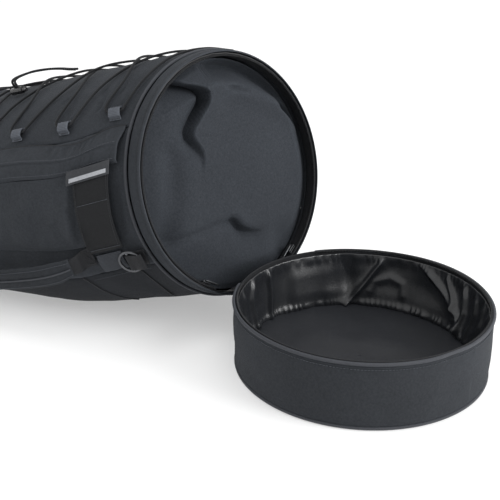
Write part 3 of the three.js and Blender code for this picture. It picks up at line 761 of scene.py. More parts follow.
def subtract(obj, cutter):
    modifier = obj.modifiers.new("cut", "BOOLEAN")
    modifier.operation, modifier.solver, modifier.object = "DIFFERENCE", "EXACT", cutter
    graph = bpy.context.evaluated_depsgraph_get()
    result = bpy.data.meshes.new_from_object(obj.evaluated_get(graph))
    obj.modifiers.clear()
    obj.data = result
    bpy.data.objects.remove(cutter)
    obj.data.set_sharp_from_angle(angle=math.radians(35))
    return obj


def slotted(obj):
    """Cuts the slot for both cords through a piece of the lock."""
    axes = (lock_along, lock_round, lock_out)
    size = (7.8, 3.9, 4 * LOCK_RADIUS)
    return subtract(obj, boxed("slot_cut", size, in_lock(CORD_SLOT, 0, 0), axes, 1.4, 3))


end = LOCK_LENGTH / 2
barrel = lathe("lock_body", [
    (0, end - 2), (3.6, end - 2), (3.6, -end), (LOCK_RADIUS - 0.3, -end), (LOCK_RADIUS, -end + 0.4),
    (LOCK_RADIUS, -end + 3), (LOCK_RADIUS - 0.35, -end + 3.3), (LOCK_RADIUS - 0.35, -end + 4.2),
    (LOCK_RADIUS, -end + 4.5), (LOCK_RADIUS, end - 1.6), (LOCK_RADIUS - 0.5, end - 0.5),
    (LOCK_RADIUS - 1.4, end), (0, end),
], in_lock)
dress(slotted(barrel), black_plastic, "lock_barrel")
plunger = lathe("lock_button", [
    (0, -16), (2.4, -16), (3.0, -15.6), (3.2, -15.0), (3.2, 4), (0, 4),
], in_lock)
dimple = lathe("dimple_cut", [(0, -14.4), (1.7, -14.8), (2.1, -16.5), (0, -16.5)], in_lock)
subtract(plunger, dimple)
dress(slotted(plunger), black_plastic, "lock_plunger", body="lock_plunger")
spring = bpy.data.objects.new("lock_spring_coil", frame["nodes"]["lock_spring"].data.copy())
bpy.context.scene.collection.objects.link(spring)
dress(spring, spring_steel, "lock_spring")
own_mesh(spring)
for (path, cord_piece), letter in zip(tails, "ab"):
    length = float(lengths(path)[-1]) * MM
    ends = [barrel, plunger, spring] if letter == "a" else []


# ---- Lace loops -----------------------------------------------------------------------------
def loop(name, distance, degrees, node_name):
    at, along, around, out = place_on(distance, degrees)
    arch = [(-9, 0.9), (-7, 1.1), (-5, 5.2), (0, 6.2), (5, 5.2), (7, 1.1), (9, 0.9)]
    tilt = [0, 0.3, 0.7, 0, -0.7, -0.3, 0]
    places = np.array([at + around * r + out * (o + 0.2) for r, o in arch])
    up = unit([out - around * t for t in tilt])
    web = ribbon(name, places, along, up, 15, 1.3, 30)
    dress(web, grey_web, node_name)
    rows_of_thread = []
    for r in (-8.2, 8.2):
        line = np.array([at + around * r + out * 1.9 + along * w for w in np.linspace(-6.6, 6.6, 8)])
        rows_of_thread.append(stitches("thread", line, out, 2.2, 1.7, 0.3))
    return rows_of_thread


loop_threads = []
for i in range(6):
    loop_threads += loop(f"near_loop_{i + 1}", LACE_NEAR[i], LACE_NEAR_ANGLE,
                         f"near_lace_loop_{i + 1}")
    loop_threads += loop(f"far_loop_{i + 1}", LACE_FAR[i], LACE_FAR_ANGLE, f"far_lace_loop_{i + 1}")
dress(join("loop_stitching", loop_threads), dark_thread)


# ---- Shell of the bag -----------------------------------------------------------------------
def line_relief(distance, degrees, points, width, depth):
    """A soft groove along a line of (distance, degrees) on the bag."""
    scaled_points = [(a, b * MM_PER_DEGREE) for a, b in points]
    gap, _, share = near_line(distance, degrees * MM_PER_DEGREE, scaled_points)
    return depth * bell(gap, width) * fade(share, -0.01, 0.12) * fade(1 - share, -0.01, 0.12)


def panel_edge(degrees, low, high):
    """Dips the cloth into the seam at both edges of a panel."""
    gap = np.minimum(degrees - low, high - degrees) * MM_PER_DEGREE
    return -1.1 * bell(gap, 3.0)


def lacing_relief(d, t):
    relief = 1.1 * noise(d / 55, t / 17, 1) + 0.5 * noise(d / 21, t / 8, 2) - 0.8
    for row_of, angle in ((LACE_NEAR, LACE_NEAR_ANGLE), (LACE_FAR, LACE_FAR_ANGLE)):
        for k, centre in enumerate(row_of):
            x, y = d - centre, (t - angle) * MM_PER_DEGREE
            r, around = np.hypot(x, y), np.arctan2(y, x)
            star = np.cos(5 * around + 1.7 * k) + 0.6 * np.cos(8 * around + k)
            relief += 0.7 * star * np.exp(-r / 16) * fade(r, 9, 18)
    relief += line_relief(d, t, [(84, 40), (96, 30), (116, 22), (128, 12)], 7, -2.2)
    relief += line_relief(d, t, [(120, 46), (128, 36), (150, 30)], 8, -1.8)
    relief += line_relief(d, t, [(200, 44), (214, 36), (232, 32)], 8, -1.6)
    relief = np.clip(relief, -3.2, 0.3)
    return relief * fade(d, 26, 46)


def near_relief(d, t):
    relief = 1.3 * noise(d / 30, t / 18, 3) + 0.6 * noise(d / 13, t / 10, 4) - 0.9
    relief += line_relief(d, t, [(40, 80), (46, 94), (52, 106)], 6, -1.6)
    return np.clip(relief, -3, 0.6) * fade(d, 26, 40)


def far_relief(d, t):
    relief = 2.0 * noise(d / 48, t / 20, 5) + 0.9 * noise(d / 22, t / 14, 6)
    relief += 0.5 * noise(d / 60, t / 3.2, 7)
    return np.clip(relief - 0.6, -4, 1.8) * fade(d, 26, 60)


def bottom_relief(d, t):
    relief = 1.0 * noise(d / 42, t / 16, 8) + 0.4 * noise(d / 18, t / 9, 9) - 0.7
    return np.clip(relief, -2.4, 0.3) * fade(d, 26, 60)


CLOTH = 1.3
PANEL_FRONT, PANEL_REAR = 24.5, 597
# Each panel's piece, node, first and last degree, rows, columns, relief and finish
PANELS = [
    ("lacing_cloth", "lacing_panel", -16.9, 57.0, 190, 74, lacing_relief, charcoal),
    ("near_side_cloth", "near_side_panel", 57.0, 122.0, 190, 66, near_relief, charcoal),
    ("bottom_cloth", "bottom_panel", 122.0, 239.0, 150, 90, bottom_relief, base_cloth),
    ("far_side_cloth", "far_side_panel", 239.0, 343.1, 180, 96, far_relief, charcoal),
]


def skin_cloth(name, d, t, lift, finish, node_name):
    """A sheet of the bag's cloth over a grid of places, lifted by so many millimetres."""
    outer = skin(d, t, lift)
    piece = dress(sheet(name, outer, skin(d, t, lift - CLOTH)), finish, node_name)
    flat_size(outer)


for name, node_name, low, high, rows, columns, relief, finish in PANELS:
    d, t = grid(np.linspace(PANEL_FRONT, PANEL_REAR, rows), np.linspace(low + 0.1, high - 0.1, columns))
    lift = relief(d, t) * fade(PANEL_REAR - d, 0, 22) + panel_edge(t, low, high)
    skin_cloth(name, d, t, lift, finish, node_name)

# Binding tape sewn over the seams inside the bag, so that no light comes through them
BINDING_DEPTH, BINDING_REACH = 4.7, 5.0
for name, _, low, *_ in PANELS:
    d, t = grid(np.linspace(25, 594, 150), low + np.linspace(-1, 1, 7) * BINDING_REACH)
    dress(sheet(name.replace("_cloth", "_binding"), skin(d, t, -BINDING_DEPTH), skin(d, t,
                                                                                     -BINDING_DEPTH - 0.8)),
          tape_cloth)
d, t = grid(np.linspace(585, 599.3, 8), np.linspace(0, 360, 180, endpoint=False))
dress(sheet("end_binding", skin(d, t, -BINDING_DEPTH), skin(d, t, -BINDING_DEPTH - 0.8), wrap=True),
      tape_cloth)


def skin_stitches(name, places, outside, count=160):
    """Stitching along a line of (distance, degrees) on the bag."""
    places = np.asarray(places, float)
    line = sample(places, range(len(places)), np.linspace(0, len(places) - 1, count))
    at, _, _, out = place_on(line[:, 0], line[:, 1], outside)
    return dress(stitches(name, at, out), seam_thread, slot="charcoal_fabric")


def seam(name, places, outside, radius, count=120):
    """A thin corded seam along a line of (distance, degrees) on the bag."""
    places = np.asarray(places, float)
    line = curve(np.column_stack([places, np.zeros(len(places))]), count)
    at, _, _, out = place_on(line[:, 0], line[:, 1], outside)
    return dress(tube(name, at, radius, 8, up=out), dark_thread, slot="binding")


skin_stitches("far_lacing_stitching", [(30, -19), (596, -19)], -0.4)
skin_stitches("base_far_stitching", [(30, 236.5), (596, 236.5)], -0.2)
skin_stitches("base_near_stitching", [(40, 124.2), (150, 124.2)], -0.2)
seam("wing_seam", [(60, 123), (56, 128), (56, 136), (62, 144), (72, 152)], 0.2, 0.9)
seam("base_seam", [(168, 122), (158, 126), (148, 133), (138, 141), (130, 150)], 0.2, 0.9)


# ---- Side pocket and its zip flap -----------------------------------------------------------
POCKET_FRONT, POCKET_REAR, POCKET_TOP, POCKET_FOOT = 79, 561, 73.0, 106.4
FLAP_FRONT, FLAP_REAR, FLAP_HEM = 33, 576, 72.9
TAPE_TOP, TAPE_FOOT = 65.2, 72.3


def pocket_relief(d, t):
    low = fade(t, 76, 104)
    swing = 0.35 * noise(t / 9, d / 60, 12)
    relief = (2.4 + 1.6 * low) * noise(d / 27 + swing, t / 30, 10)
    relief += 1.0 * noise(d / 12 + swing, t / 18, 11) * (0.4 + low)
    relief += line_relief(d, t, [(150, 86), (146, 96), (150, 106)], 9, -3.4)
    relief += line_relief(d, t, [(196, 92), (186, 99), (170, 106)], 10, -2.6)
    edge = fade(t, 72, 79) * fade(POCKET_FOOT - t, 0, 5) * fade(d, 80, 100) * fade(560 - d, 0, 24)
    return np.clip(relief, -4.4, 2.6) * edge


d, t = grid(np.linspace(POCKET_FRONT, POCKET_REAR, 210), np.linspace(POCKET_TOP, POCKET_FOOT, 64))
body = lerp(6.4, 1.4, (t - POCKET_TOP) / (POCKET_FOOT - POCKET_TOP))
puff = 3.0 * fade(t, 76, 92) * fade(108 - t, 0, 12) * fade(d, 84, 140) * fade(560 - d, 0, 60)
hem = fade(POCKET_FOOT - t, 0, 2.4) * fade(d, POCKET_FRONT, 84) * fade(POCKET_REAR - d, 0, 5)
lift = (body + puff + pocket_relief(d, t)) * hem + 1.5 * (1 - hem)
skin_cloth("pocket_cloth", d, t, lift, charcoal, "side_pocket")


def flap_edge(d):
    """Degrees of the flap's wavy sewn edge."""
    return 57.4 + 1.5 * np.sin((d - 40) / 70) * fade(d, 34, 90) - 0.7 * np.sin(d / 31)


def flap_relief(d, v):
    """Gathers between the sewn edge and the stitch line, and a loose hem."""
    gather = noise(d / 7.5, v * 1.2, 13) + 0.7 * noise(d / 15, v * 1.5, 14)
    upper = fade(v, 0.02, 0.16) * fade(0.5 - v, 0, 0.18)
    lower = fade(v, 0.52, 0.7)
    ridge = 0.9 * bell(v - 0.5, 0.028) - 0.8 * bell(v - 0.56, 0.03)
    return 1.1 * gather * upper + (1.3 * noise(d / 24, v * 1.5, 15) + 0.4 * gather) * lower + ridge


d, v = grid(np.linspace(FLAP_FRONT, FLAP_REAR, 300), np.linspace(0, 1, 40))
t = lerp(flap_edge(d), FLAP_HEM + 0.35 * noise(d / 35, 0.5, 16), v)
ends = fade(d, FLAP_FRONT, 44) * fade(FLAP_REAR - d, 0, 10)
lift = lerp(1.9, 8.6, fade(v, 0, 0.6)) + flap_relief(d, v) * ends
lift -= 2.2 * fade(v, 0.93, 1.0)
skin_cloth("flap_cloth", d, t, lift, charcoal, "zip_flap")
line_d = np.linspace(FLAP_FRONT, FLAP_REAR, 60)
# A dark cord along the flap's wavy sewn edge: partly the seam's binding, and partly painted shadow under
# the flap's top edge.
seam("flap_seam_and_shadow", np.column_stack([line_d, flap_edge(line_d) - 0.2]), 1.5, 0.8, count=300)
for name, share, outside in (("flap_stitching", 0.47, 8.0), ("flap_hem_stitching", 0.9, 8.9)):
    angle = lerp(flap_edge(line_d), FLAP_HEM, share)
    skin_stitches(name, np.column_stack([line_d[1:-1], angle[1:-1]]), outside, count=300)


def coil(name, line, out, across, body, pitch):
    """A zip's coil along a line: a fine wire wound round it."""
    radius, wire = 1.1, 0.42
    line, out, across = spread(line, out, across)
    reach = lengths(line)
    at = np.linspace(0, reach[-1], int(reach[-1] / pitch * 7))
    turn = at / pitch * math.tau
    path = (sample(line, reach, at) + sample(out, reach, at) * (0.8 * radius * np.cos(turn))[:, None]
            + sample(across, reach, at) * (1.25 * radius * np.sin(turn))[:, None])
    return dress(tube(name, path, wire, 4), coil_plastic, body=body)


d, t = grid(np.linspace(89, POCKET_REAR, 120), np.linspace(TAPE_TOP, TAPE_FOOT, 6))
lift = lerp(2.6, 1.6, (t - TAPE_TOP) / (TAPE_FOOT - TAPE_TOP))
outer, inner = skin(d, t, lift), skin(d, t, lift - 0.8)
dress(sheet("pocket_tape", outer, inner), tape_cloth, "pocket_zip_tape")
line_d = np.linspace(92, 556, 200)
at, _, around, out = place_on(line_d, 69.0, 3.2)
coil("pocket_coil", at, out, around, "bag_body", pitch=2.2)


# ---- Zip sliders and pulls ------------------------------------------------------------------
def slider(name, centre, axes, body, node_name, size=(8, 13, 4.2)):
    """A zip slider: two plates on a waist, with a bridge for its pull."""
    centre, (a, b, c) = np.asarray(centre, float), axes
    w, h, t = size
    plates = [
        boxed("plate", (w, h, 1.2), centre + c * s * (t / 2 - 0.6), axes, 0.5) for s in (-1, 1)
    ]
    plates.append(boxed("waist", (2.6, h * 0.8, t - 1.6), centre, axes, 0.3))
    plates.append(boxed("bridge", (1.8, h * 0.62, 1.0), centre + c * (t / 2 + 1.6), axes, 0.4))
    for s in (-1, 1):
        foot = centre + b * s * h * 0.27 + c * (t / 2 + 0.6)
        plates.append(boxed("foot", (1.8, 1.1, 2.0), foot, axes, 0.3))
    return dress(join(name, plates), zip_metal, node_name, body=body)


def pull(name, pivot, axes, body, node_name):
    """A pull hanging from pivot towards the second axis, its thickness along the third."""
    pivot, (a, b, c) = np.asarray(pivot, float), axes
    outline = [(-2.4, -1.2), (2.4, -1.2), (3.6, 17)]
    outline += [(3.6 * math.cos(t), 18 + 3.6 * math.sin(t)) for t in np.linspace(0.1, math.pi - 0.1, 12)]
    outline += [(-3.6, 17)]
    centre = np.mean(outline, axis=0)
    rings = []
    for height, inset in ((0, 0.35), (0.3, 0), (1.1, 0), (1.4, 0.35)):
        ring = []
        for x, y in outline:
            q = np.array([x, y]) - centre
            q = centre + q * (1 - inset / max(np.linalg.norm(q), 1))
            ring.append(pivot + a * q[0] + b * q[1] + c * (height - 0.7))
        rings.append(ring)
    plate = loft(name, np.array(rings))
    hole = lathe("hole_cut", [(0, -3), (1.7, -3), (1.7, 3), (0, 3)],
                 lambda x, y, z: pivot + b * (18 + y) + a * z + c * x, 20)
    subtract(plate, hole)
    return dress(plate, zip_metal, node_name, body=body)


at, along, around, out = place_on(250.0, 69.0, 4.7)
pocket_axes = (around, along, out)
slider("pocket_slider_body", at, pocket_axes, "pocket_slider", "pocket_zip_slider", (7, 12, 3))

SLIDER_ANGLE, SLIDER_DEPTH, SLIDER_RADIUS, PULL_LIFT = math.radians(33), 9.0, 146.6, 3.6
for name, side in (("near", -1), ("far", 1)):
    s, c = math.sin(SLIDER_ANGLE), math.cos(SLIDER_ANGLE)
    inward = -unit(on_hoop(0, side * s, -c) - HOOP_CENTRE)
    tangent = np.cross(HOOP_OUT, inward)
    centre = on_hoop(-SLIDER_DEPTH, side * s * SLIDER_RADIUS, -c * SLIDER_RADIUS)
    slider(f"{name}_slider_body", centre, (HOOP_OUT, tangent, inward), f"{name}_slider",
           f"{name}_zip_slider")
    low = unit(-HOOP_UP - inward * (-HOOP_UP @ inward))
    pull(f"{name}_pull_plate", centre + inward * (PULL_LIFT + 0.7),
         (HOOP_OUT, low, np.cross(HOOP_OUT, low)), f"{name}_pull", f"{name}_zip_pull")


# ---- Webbing on the near side ---------------------------------------------------------------
STRAP_AT, STRAP_WIDTH, STRAP_TACKS = 90, 46, (87.5, 108.0)
LABEL_AT, LABEL_WIDTH, LABEL_BAND = 96, 56, 48
TAIL_AT, TAIL_WIDTH = 92, 34


def along_skin(distance, angles, outside):
    at, along, _, out = place_on(distance, angles, outside)
    return at, along, out


at, wide, up = along_skin(STRAP_AT, [75.2, 80, 85, 90, 95, 100, 105, 109.5],
                          [10.5, 11.6, 11.9, 12.2, 12.0, 11.0, 9.0, 6.5])
strap = ribbon("side_strap_web", at, wide, up, STRAP_WIDTH, 1.9, 60)
dress(strap, strap_web, "side_strap")
bars = []
for angle in STRAP_TACKS:
    at, wide, out = along_skin(STRAP_AT, [angle], 13.1 if angle < 90 else 8.9)
    line = at[0] + wide[0] * np.linspace(-21, 21, 20)[:, None]
    bars.append(stitches("thread", line, out, 1.7, 1.5, 0.34))
dress(join("strap_bar_tacks", bars), seam_thread)
for edge in (-20.6, 20.6):
    at, wide, out = along_skin(STRAP_AT, np.linspace(76.5, 108, 40), 12.9)
    piece = stitches(f"strap_stitching_{'a' if edge < 0 else 'b'}", at + wide * edge, out, 3.0)
    dress(piece, dark_thread)

at, wide, up = along_skin(LABEL_AT, [72.3, 74, 76, 77.9], [13.3, 13.8, 14.0, 13.8])
label = ribbon("label_cloth", at, wide, up, LABEL_WIDTH, 0.9, 24)
dress(label, label_dark, "blank_label")
at, wide, up = along_skin(LABEL_AT, [75.4, 76.2, 77.0], [14.65, 14.65, 14.5])
dress(ribbon("label_band", at, wide, up, LABEL_BAND, 0.4, 12), label_pale)

at, wide, up = along_skin(TAIL_AT, [111.5, 114.5, 117.5, 120.5], [3.4, 4.2, 3.6, 2.2])
dress(ribbon("strap_tail_web", at, wide, up, TAIL_WIDTH, 1.6, 30), tail_web, "strap_tail")


# ---- Strap ring and its tab -----------------------------------------------------------------
ring_at, ring_along, ring_round, ring_out = place_on(53.0, 116.0, 11.0)
CLEAR = 1.8 + 0.4 + 0.7


def by_ring(along, out):
    return ring_at + ring_along * along + ring_out * out


tab = [((-20, -5.4), (0, -1)), ((-14, -5.4), (0, -1)), ((-5, -CLEAR), (0, -1))]
for turn in range(-90, 91, 30):
    c, s = math.cos(math.radians(turn)), math.sin(math.radians(turn))
    tab.append(((CLEAR * c, CLEAR * s), (c, s)))
tab += [((-5, CLEAR), (0, 1)), ((-14, 4.6), (0, 1)), ((-20, 3.4), (0, 1))]
at = [by_ring(*p) for p, _ in tab]
up = [ring_along * u[0] + ring_out * u[1] for _, u in tab]
web = ribbon("ring_tab_web", at, ring_round, up, 22, 1.4, 90)
dress(web, black_web, "ring_tab", body="ring_tab")
turn = np.linspace(0, math.tau, 72, endpoint=False)
circle = ring_at + 14.2 * (ring_along * np.cos(turn)[:, None] + ring_round * np.sin(turn)[:, None])
wire = tube("wire", circle, 1.8, 16, closed=True)
bar_line = ring_at + ring_round * np.linspace(-13.6, 13.6, 12)[:, None]
bar = tube("bar", bar_line, 1.75, 16)
dress(join("ring_metal", [wire, bar]), gunmetal, "strap_ring", body="strap_ring")


# ---- Grab handle ----------------------------------------------------------------------------
def handle_angle(distance):
    return lerp(111.8, 118, (distance - HANDLE_START) / (HANDLE_END - HANDLE_START))


def handle_place(u):
    u = np.asarray(u, float)
    outside = 9 + 19 * np.sin(math.pi * np.clip(u, 0, 1)) ** 0.8
    distance = lerp(HANDLE_START, HANDLE_END, u)
    at, _, around, out = place_on(distance, handle_angle(distance), outside)
    return at, around, out


u = np.linspace(0.08, 0.92, 64)
at, wide, up = handle_place(u)
taper = 0.8 + 0.2 * fade(u, 0.08, 0.2) * fade(1 - u, 0.08, 0.2)
sections = []
for k in range(len(u)):
    section = []
    for turn in np.linspace(0, math.tau, 36, endpoint=False):
        c, s = math.cos(turn), math.sin(turn)
        w = 15.4 * taper[k] * math.copysign(abs(c) ** 0.8, c)
        h = 4.0 * taper[k] * math.copysign(abs(s) ** 0.9, s)
        crease = 0.8 * math.exp(-((w / 3.0) ** 2)) * (s > 0)
        pucker = 0.45 * float(noise(u[k] * 34, turn * 2, 20))
        section.append(at[k] + wide[k] * (w + pucker * c) + up[k] * (h - crease + pucker * s))
    sections.append(section)
pad = dress(loft("handle_padding", sections), handle_cloth, "handle_pad", body="grab_handle")
piping = tube("handle_piping", at + up * 4.4, 1.15, 10, up=up)
dress(piping, piping_cloth, body="grab_handle")
edges = []
for side in (-1, 1):
    line = at + wide * side * 11.2 * taper[:, None] + up * 3.4
    edges.append(stitches("thread", line, up, 3.2))
dress(join("handle_stitching", edges), seam_thread, body="grab_handle")
for name, u0, direction in (("front", 0.0, 1), ("rear", 1.0, -1)):
    foot = lerp(HANDLE_START, HANDLE_END, u0)
    places = [place_on(foot - direction * q, handle_angle(foot - direction * q), h) for q, h in
              ((24, 2.4), (12, 2.4), (3, 3.6))]
    at = [p[0] for p in places]
    wide = [p[2] for p in places]
    up = [p[3] for p in places]
    for share in (0.02, 0.07, 0.1):
        a, w, o = handle_place(np.array([u0 + direction * share]))
        at.append(a[0])
        wide.append(w[0])
        up.append(o[0])
    anchor = ribbon(f"handle_{name}_web", at, wide, up, [25, 25, 25, 24, 22, 20], 1.8, 40)
    dress(anchor, black_web, f"handle_anchor_{name}", body=None)
    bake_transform(anchor)
    base = foot - direction * 15
    base_at, base_along, base_round, base_out = place_on(base, handle_angle(base), 3.5)
    corners = [(-6, -9), (6, -9), (6, 9), (-6, 9), (-6, -9), (6, 9), (6, -9), (-6, 9)]
    line = np.array([base_at + base_along * x + base_round * y for x, y in corners])
    line = sample(line, range(len(corners)), np.linspace(0, len(corners) - 1, 120))
    box = stitches(f"handle_{name}_stitching", line, base_out, 2.6)
    dress(box, dark_thread)


# ---- Hoop -----------------------------------------------------------------------------------
turn = np.linspace(0, 360, 240, endpoint=False)
d, t = grid(np.concatenate([[0.2, 0.7, 1.6, 2.8], np.linspace(4, 18, 8), [20, 22.5, 24]]), turn)
profile = -1.1 * bell(d, 1.1) + 0.35 * bell(d - 2.2, 1.5)
profile -= 2.2 * fade(d, 20.5, 24)
profile += 0.25 * noise(d / 9, t / 7.5, 21, 48) * fade(d, 3, 8)
outer, inner = skin(d, t, profile + 0.3), skin(d, t, np.minimum(profile - 0.9, -0.9))
dress(sheet("hoop_cloth", outer, inner, wrap=True), charcoal, "hoop_band")
at, _, _, out = place_on(5.0, turn, 0.4)
dress(stitches("hoop_stitching", looped(at), looped(out), 3.6), dark_thread, slot="grey_webbing")


def ring_tube(name, distance, outside, radius, node_name):
    at, _, _, out = place_on(distance, turn, outside)
    wobble = 0.15 * noise(turn / 6, 0.5, 22)[:, None]
    return dress(tube(name, at + out * wobble, radius, 12, closed=True, up=out), piping_cloth,
                 node_name)


ring_tube("hoop_piping_cord", BAND_DEPTH + 3.4, 0.8, 1.9, "hoop_piping")
ring_tube("end_piping_cord", BODY_LENGTH - 0.5, 0.6, 2.2, "end_piping")

TAPE_RADIUS, COIL_RADIUS = 150.4, 148.7
angle = np.linspace(HINGE_HALF_ANGLE, math.tau - HINGE_HALF_ANGLE, 260)
x, a = grid(np.linspace(-17, -1.2, 8), angle)
bow = 0.25 * noise(x / 6, a * 9, 23)
outer = on_hoop(x, -TAPE_RADIUS * np.sin(a), -TAPE_RADIUS * np.cos(a))
face = TAPE_RADIUS - 0.9 + bow
inner = on_hoop(x, -face * np.sin(a), -face * np.cos(a))
dress(sheet("hoop_tape", outer, inner), tape_cloth, "hoop_zip_tape")
at = on_hoop(-2.4, -COIL_RADIUS * np.sin(angle), -COIL_RADIUS * np.cos(angle))
out = unit(on_hoop(-2.4, 0, 0) - at)
coil("hoop_coil", at, out, HOOP_OUT, "bag_body", pitch=2.0)
for name in ("hoop_stiffener", "pod_base_board"):
    frame["nodes"][name].data.materials.clear()
    frame["nodes"][name].data.materials.append(board_plastic)

# The divider: cloth across the hoop, tucked under itself at the upper left. Its folds are lines
# of (across, up) in the hoop's plane.
FOLD = [(-92, 140), (-66, 133), (-48, 128), (-28, 122), (-16, 115), (-11, 107), (-12, 97),
        (-18, 88), (-30, 79), (-41, 71), (-51, 64), (-53, 58), (-47, 46), (-42, 33), (-44, 21),
        (-52, 2)]
CREASE = [(-18, 113), (-5, 113), (19, 105), (37, 101), (62, 90), (96, 73), (130, 50), (154, 36)]
SLIT = [(114, 70), (124, 61), (134, 52), (146, 43)]
LOW_CREASE = [(-145, -68), (-125, -62), (-100, -60), (-67, -59), (-31, -56), (-16, -54),
              (-9, -58), (2, -71), (27, -81), (48, -84)]
VALLEY = [(-88, 40), (-94, 13), (-103, -22), (-117, -52)]


def signed(y, z, points, count=48):
    """Distance from a smooth line, positive on its left, and the share along it."""
    line = curve(np.column_stack([points, np.zeros(len(points))]), count)[:, :2]
    gap, side, share = near_line(y, z, line)
    return gap * side, share


def divider_depth(y, z):
    """How far the cloth stands out of the hoop's plane, in millimetres."""
    r = np.hypot(y, z)
    depth = -20 + 12 * fade(149 - r, 0, lerp(52, 26, fade(y, -60, 60)))
    gap, share = signed(y, z, FOLD)
    ends = eased(share, 0.1, 0.5)
    under = -36 * np.exp(-np.abs(gap) / 15)
    over = 7 * bell(gap, 22)
    depth += ends * lerp(under, over, fade(gap, -3, 2))
    gap, share = signed(y, z, CREASE)
    ends = fade(share, 0.0, 0.12)
    depth += 5 * bell(gap, 13) * ends
    depth -= 24 * fade(gap, -2, 42) * ends
    nick = bell(share - 0.27, 0.09)
    depth -= 7 * bell(gap - 3, 4) * nick
    gap, _ = signed(y, z, SLIT, 16)
    depth -= 24 * bell(gap, 6)
    depth += 6 * bell(gap - 9, 5) * fade(y, 100, 130)
    gap, share = signed(y, z, LOW_CREASE)
    ends = eased(share, 0.2, 0.12)
    tuck = bell(y - 2, 27)
    below = -17 * np.exp(-np.abs(gap + 2) / 12) * tuck
    above = 4 * bell(gap, 14) * tuck
    depth += ends * (lerp(below, above, fade(gap, -6, 2)) - 3 * bell(gap, 5))
    gap, _ = signed(y, z, VALLEY, 16)
    depth -= 11 * bell(gap, 15)
    depth -= 8 * np.exp(-(((y - 68) / 24) ** 2) - ((z + 106) / 24) ** 2)  # room for the far pull
    depth += 1.0 * noise(y / 60, z / 60, 24)
    return lerp(-22.5, np.clip(depth, -58, -3), fade(149 - r, 0, 9))


def overhang(y, z, points, reach, width):
    """Slides the cloth beside a fold's line over the fold, so that the lip hides its inside."""
    gap, share = signed(y, z, points)
    step = 0.5
    across = (signed(y + step, z, points)[0] - signed(y - step, z, points)[0]) / (2 * step)
    up = (signed(y, z + step, points)[0] - signed(y, z - step, points)[0]) / (2 * step)
    ends = fade(share, 0.05, 0.25) * fade(1 - share, 0.1, 0.5)
    slide = reach * ends * fade(gap, -3, 2) * np.exp(-np.maximum(gap, 0) / width)
    return y - slide * np.clip(across, -1, 1), z - slide * np.clip(up, -1, 1)


DIVIDER_RADIUS = 148.6
a, b = grid(np.linspace(-1, 1, 212), np.linspace(-1, 1, 212))
y, z = DIVIDER_RADIUS * a * np.sqrt(1 - b * b / 2), DIVIDER_RADIUS * b * np.sqrt(1 - a * a / 2)
depth = divider_depth(y, z)
y, z = overhang(y, z, FOLD, 7, 26)
outer, inner = on_hoop(depth, y, z), on_hoop(depth - CLOTH, y, z)
divider = dress(sheet("divider_cloth", outer, inner), divider_cloth, "divider")


# ---- Pod ------------------------------------------------------------------------------------
around = np.linspace(0, math.tau, 300, endpoint=False)
open_arc = np.linspace(math.pi + HINGE_HALF_ANGLE, 3 * math.pi - HINGE_HALF_ANGLE, 300)


def pod_bow(a, z):
    """How the soft wall leaves its circle."""
    bow = 1.2 * noise(a / (math.tau) * 9, z / 60, 30, 9) * fade(z, 4, 30)
    flare = 0.9 * bell(z - 40, 30)
    dent = -1.6 * bell(a - 6.05, 0.12) * fade(z, 4, 40)
    return bow + flare + dent


def rim_sag(a):
    return 1.1 * noise(a / (math.tau) * 6, 0.5, 31, 6)


z, a = grid(np.concatenate([[2.2, 3.0], np.linspace(4.5, 76, 26), [77.5, 78.4]]), around)
r = POD_RADIUS + pod_bow(a, z) - 1.8 * bell(z - 2, 2.4)
r -= 1.5 * bell(z - 78.6, 1.6) + 0.35 * bell(z - POD_STITCH_HEIGHT, 0.8)
r = np.minimum(r, POD_RADIUS + 1.6)
r += 0.3 * noise(a / (math.tau) * 60, z / 14, 32, 60)
lifted = z + rim_sag(a) * fade(z, 30, 78)
wall = dress(sheet("pod_wall_cloth", on_pod(r, a, lifted), on_pod(r - CLOTH, a, lifted), wrap=True),
             pod_cloth, "pod_wall", body="pod")
height = POD_STITCH_HEIGHT + rim_sag(around)
line = on_pod(POD_RADIUS + pod_bow(around, POD_STITCH_HEIGHT) + 0.2, around, height)
out = unit(line - on_pod(0, around, height))
dress(stitches("pod_stitching", looped(line), looped(out), 3.6), seam_thread, body="pod")

for name, radius, tube_radius, height, node_name, sag in (
    ("pod_foot_cord", POD_RADIUS - 0.9, 1.8, 1.9, "pod_base_piping", 0),
    ("pod_rim_cord", POD_RADIUS - 0.3, 2.0, 79.6, "pod_rim_piping", 1),
):
    arc = open_arc if sag else around
    whole = arc % (math.tau)
    bow = pod_bow(whole, height * 0.9) * sag
    line = on_pod(radius + np.minimum(bow, 1.4), arc, height + sag * rim_sag(whole))
    dress(tube(name, line, tube_radius, 12, closed=not sag), piping_cloth, node_name, body="pod")

r, a = grid(np.linspace(0.5, 148.2, 60), around)
quilt = 0.35 * noise(r * np.cos(a) / 40, r * np.sin(a) / 40, 33)
underside = 0.15 + 0.25 * fade(150 - r, 0, 20) + 0.15 * np.abs(quilt)
dress(sheet("pod_base_cloth", on_pod(r, a, 1.9), on_pod(r, a, underside), wrap=True), base_cloth,
      "pod_base", body="pod")

r, a = grid(np.concatenate([np.linspace(0.5, 120, 50), np.linspace(122, 144.5, 22)]),
            np.linspace(0, math.tau, 400, endpoint=False))
edge = fade(r, 118, 144)
swell = 1.6 * noise(r * np.cos(a) / 55, r * np.sin(a) / 38, 34) * fade(144 - r, 0, 40)
swell += 1.0 * edge * np.abs(noise(a / (math.tau) * 56, r / 30, 35, 56))
top = on_pod(r, a, 7.2 + swell)
floor_piece = dress(sheet("pod_floor_cloth", top, on_pod(r, a, 6.3 + swell), wrap=True),
                    floor_lining, "pod_floor_lining", body="pod")


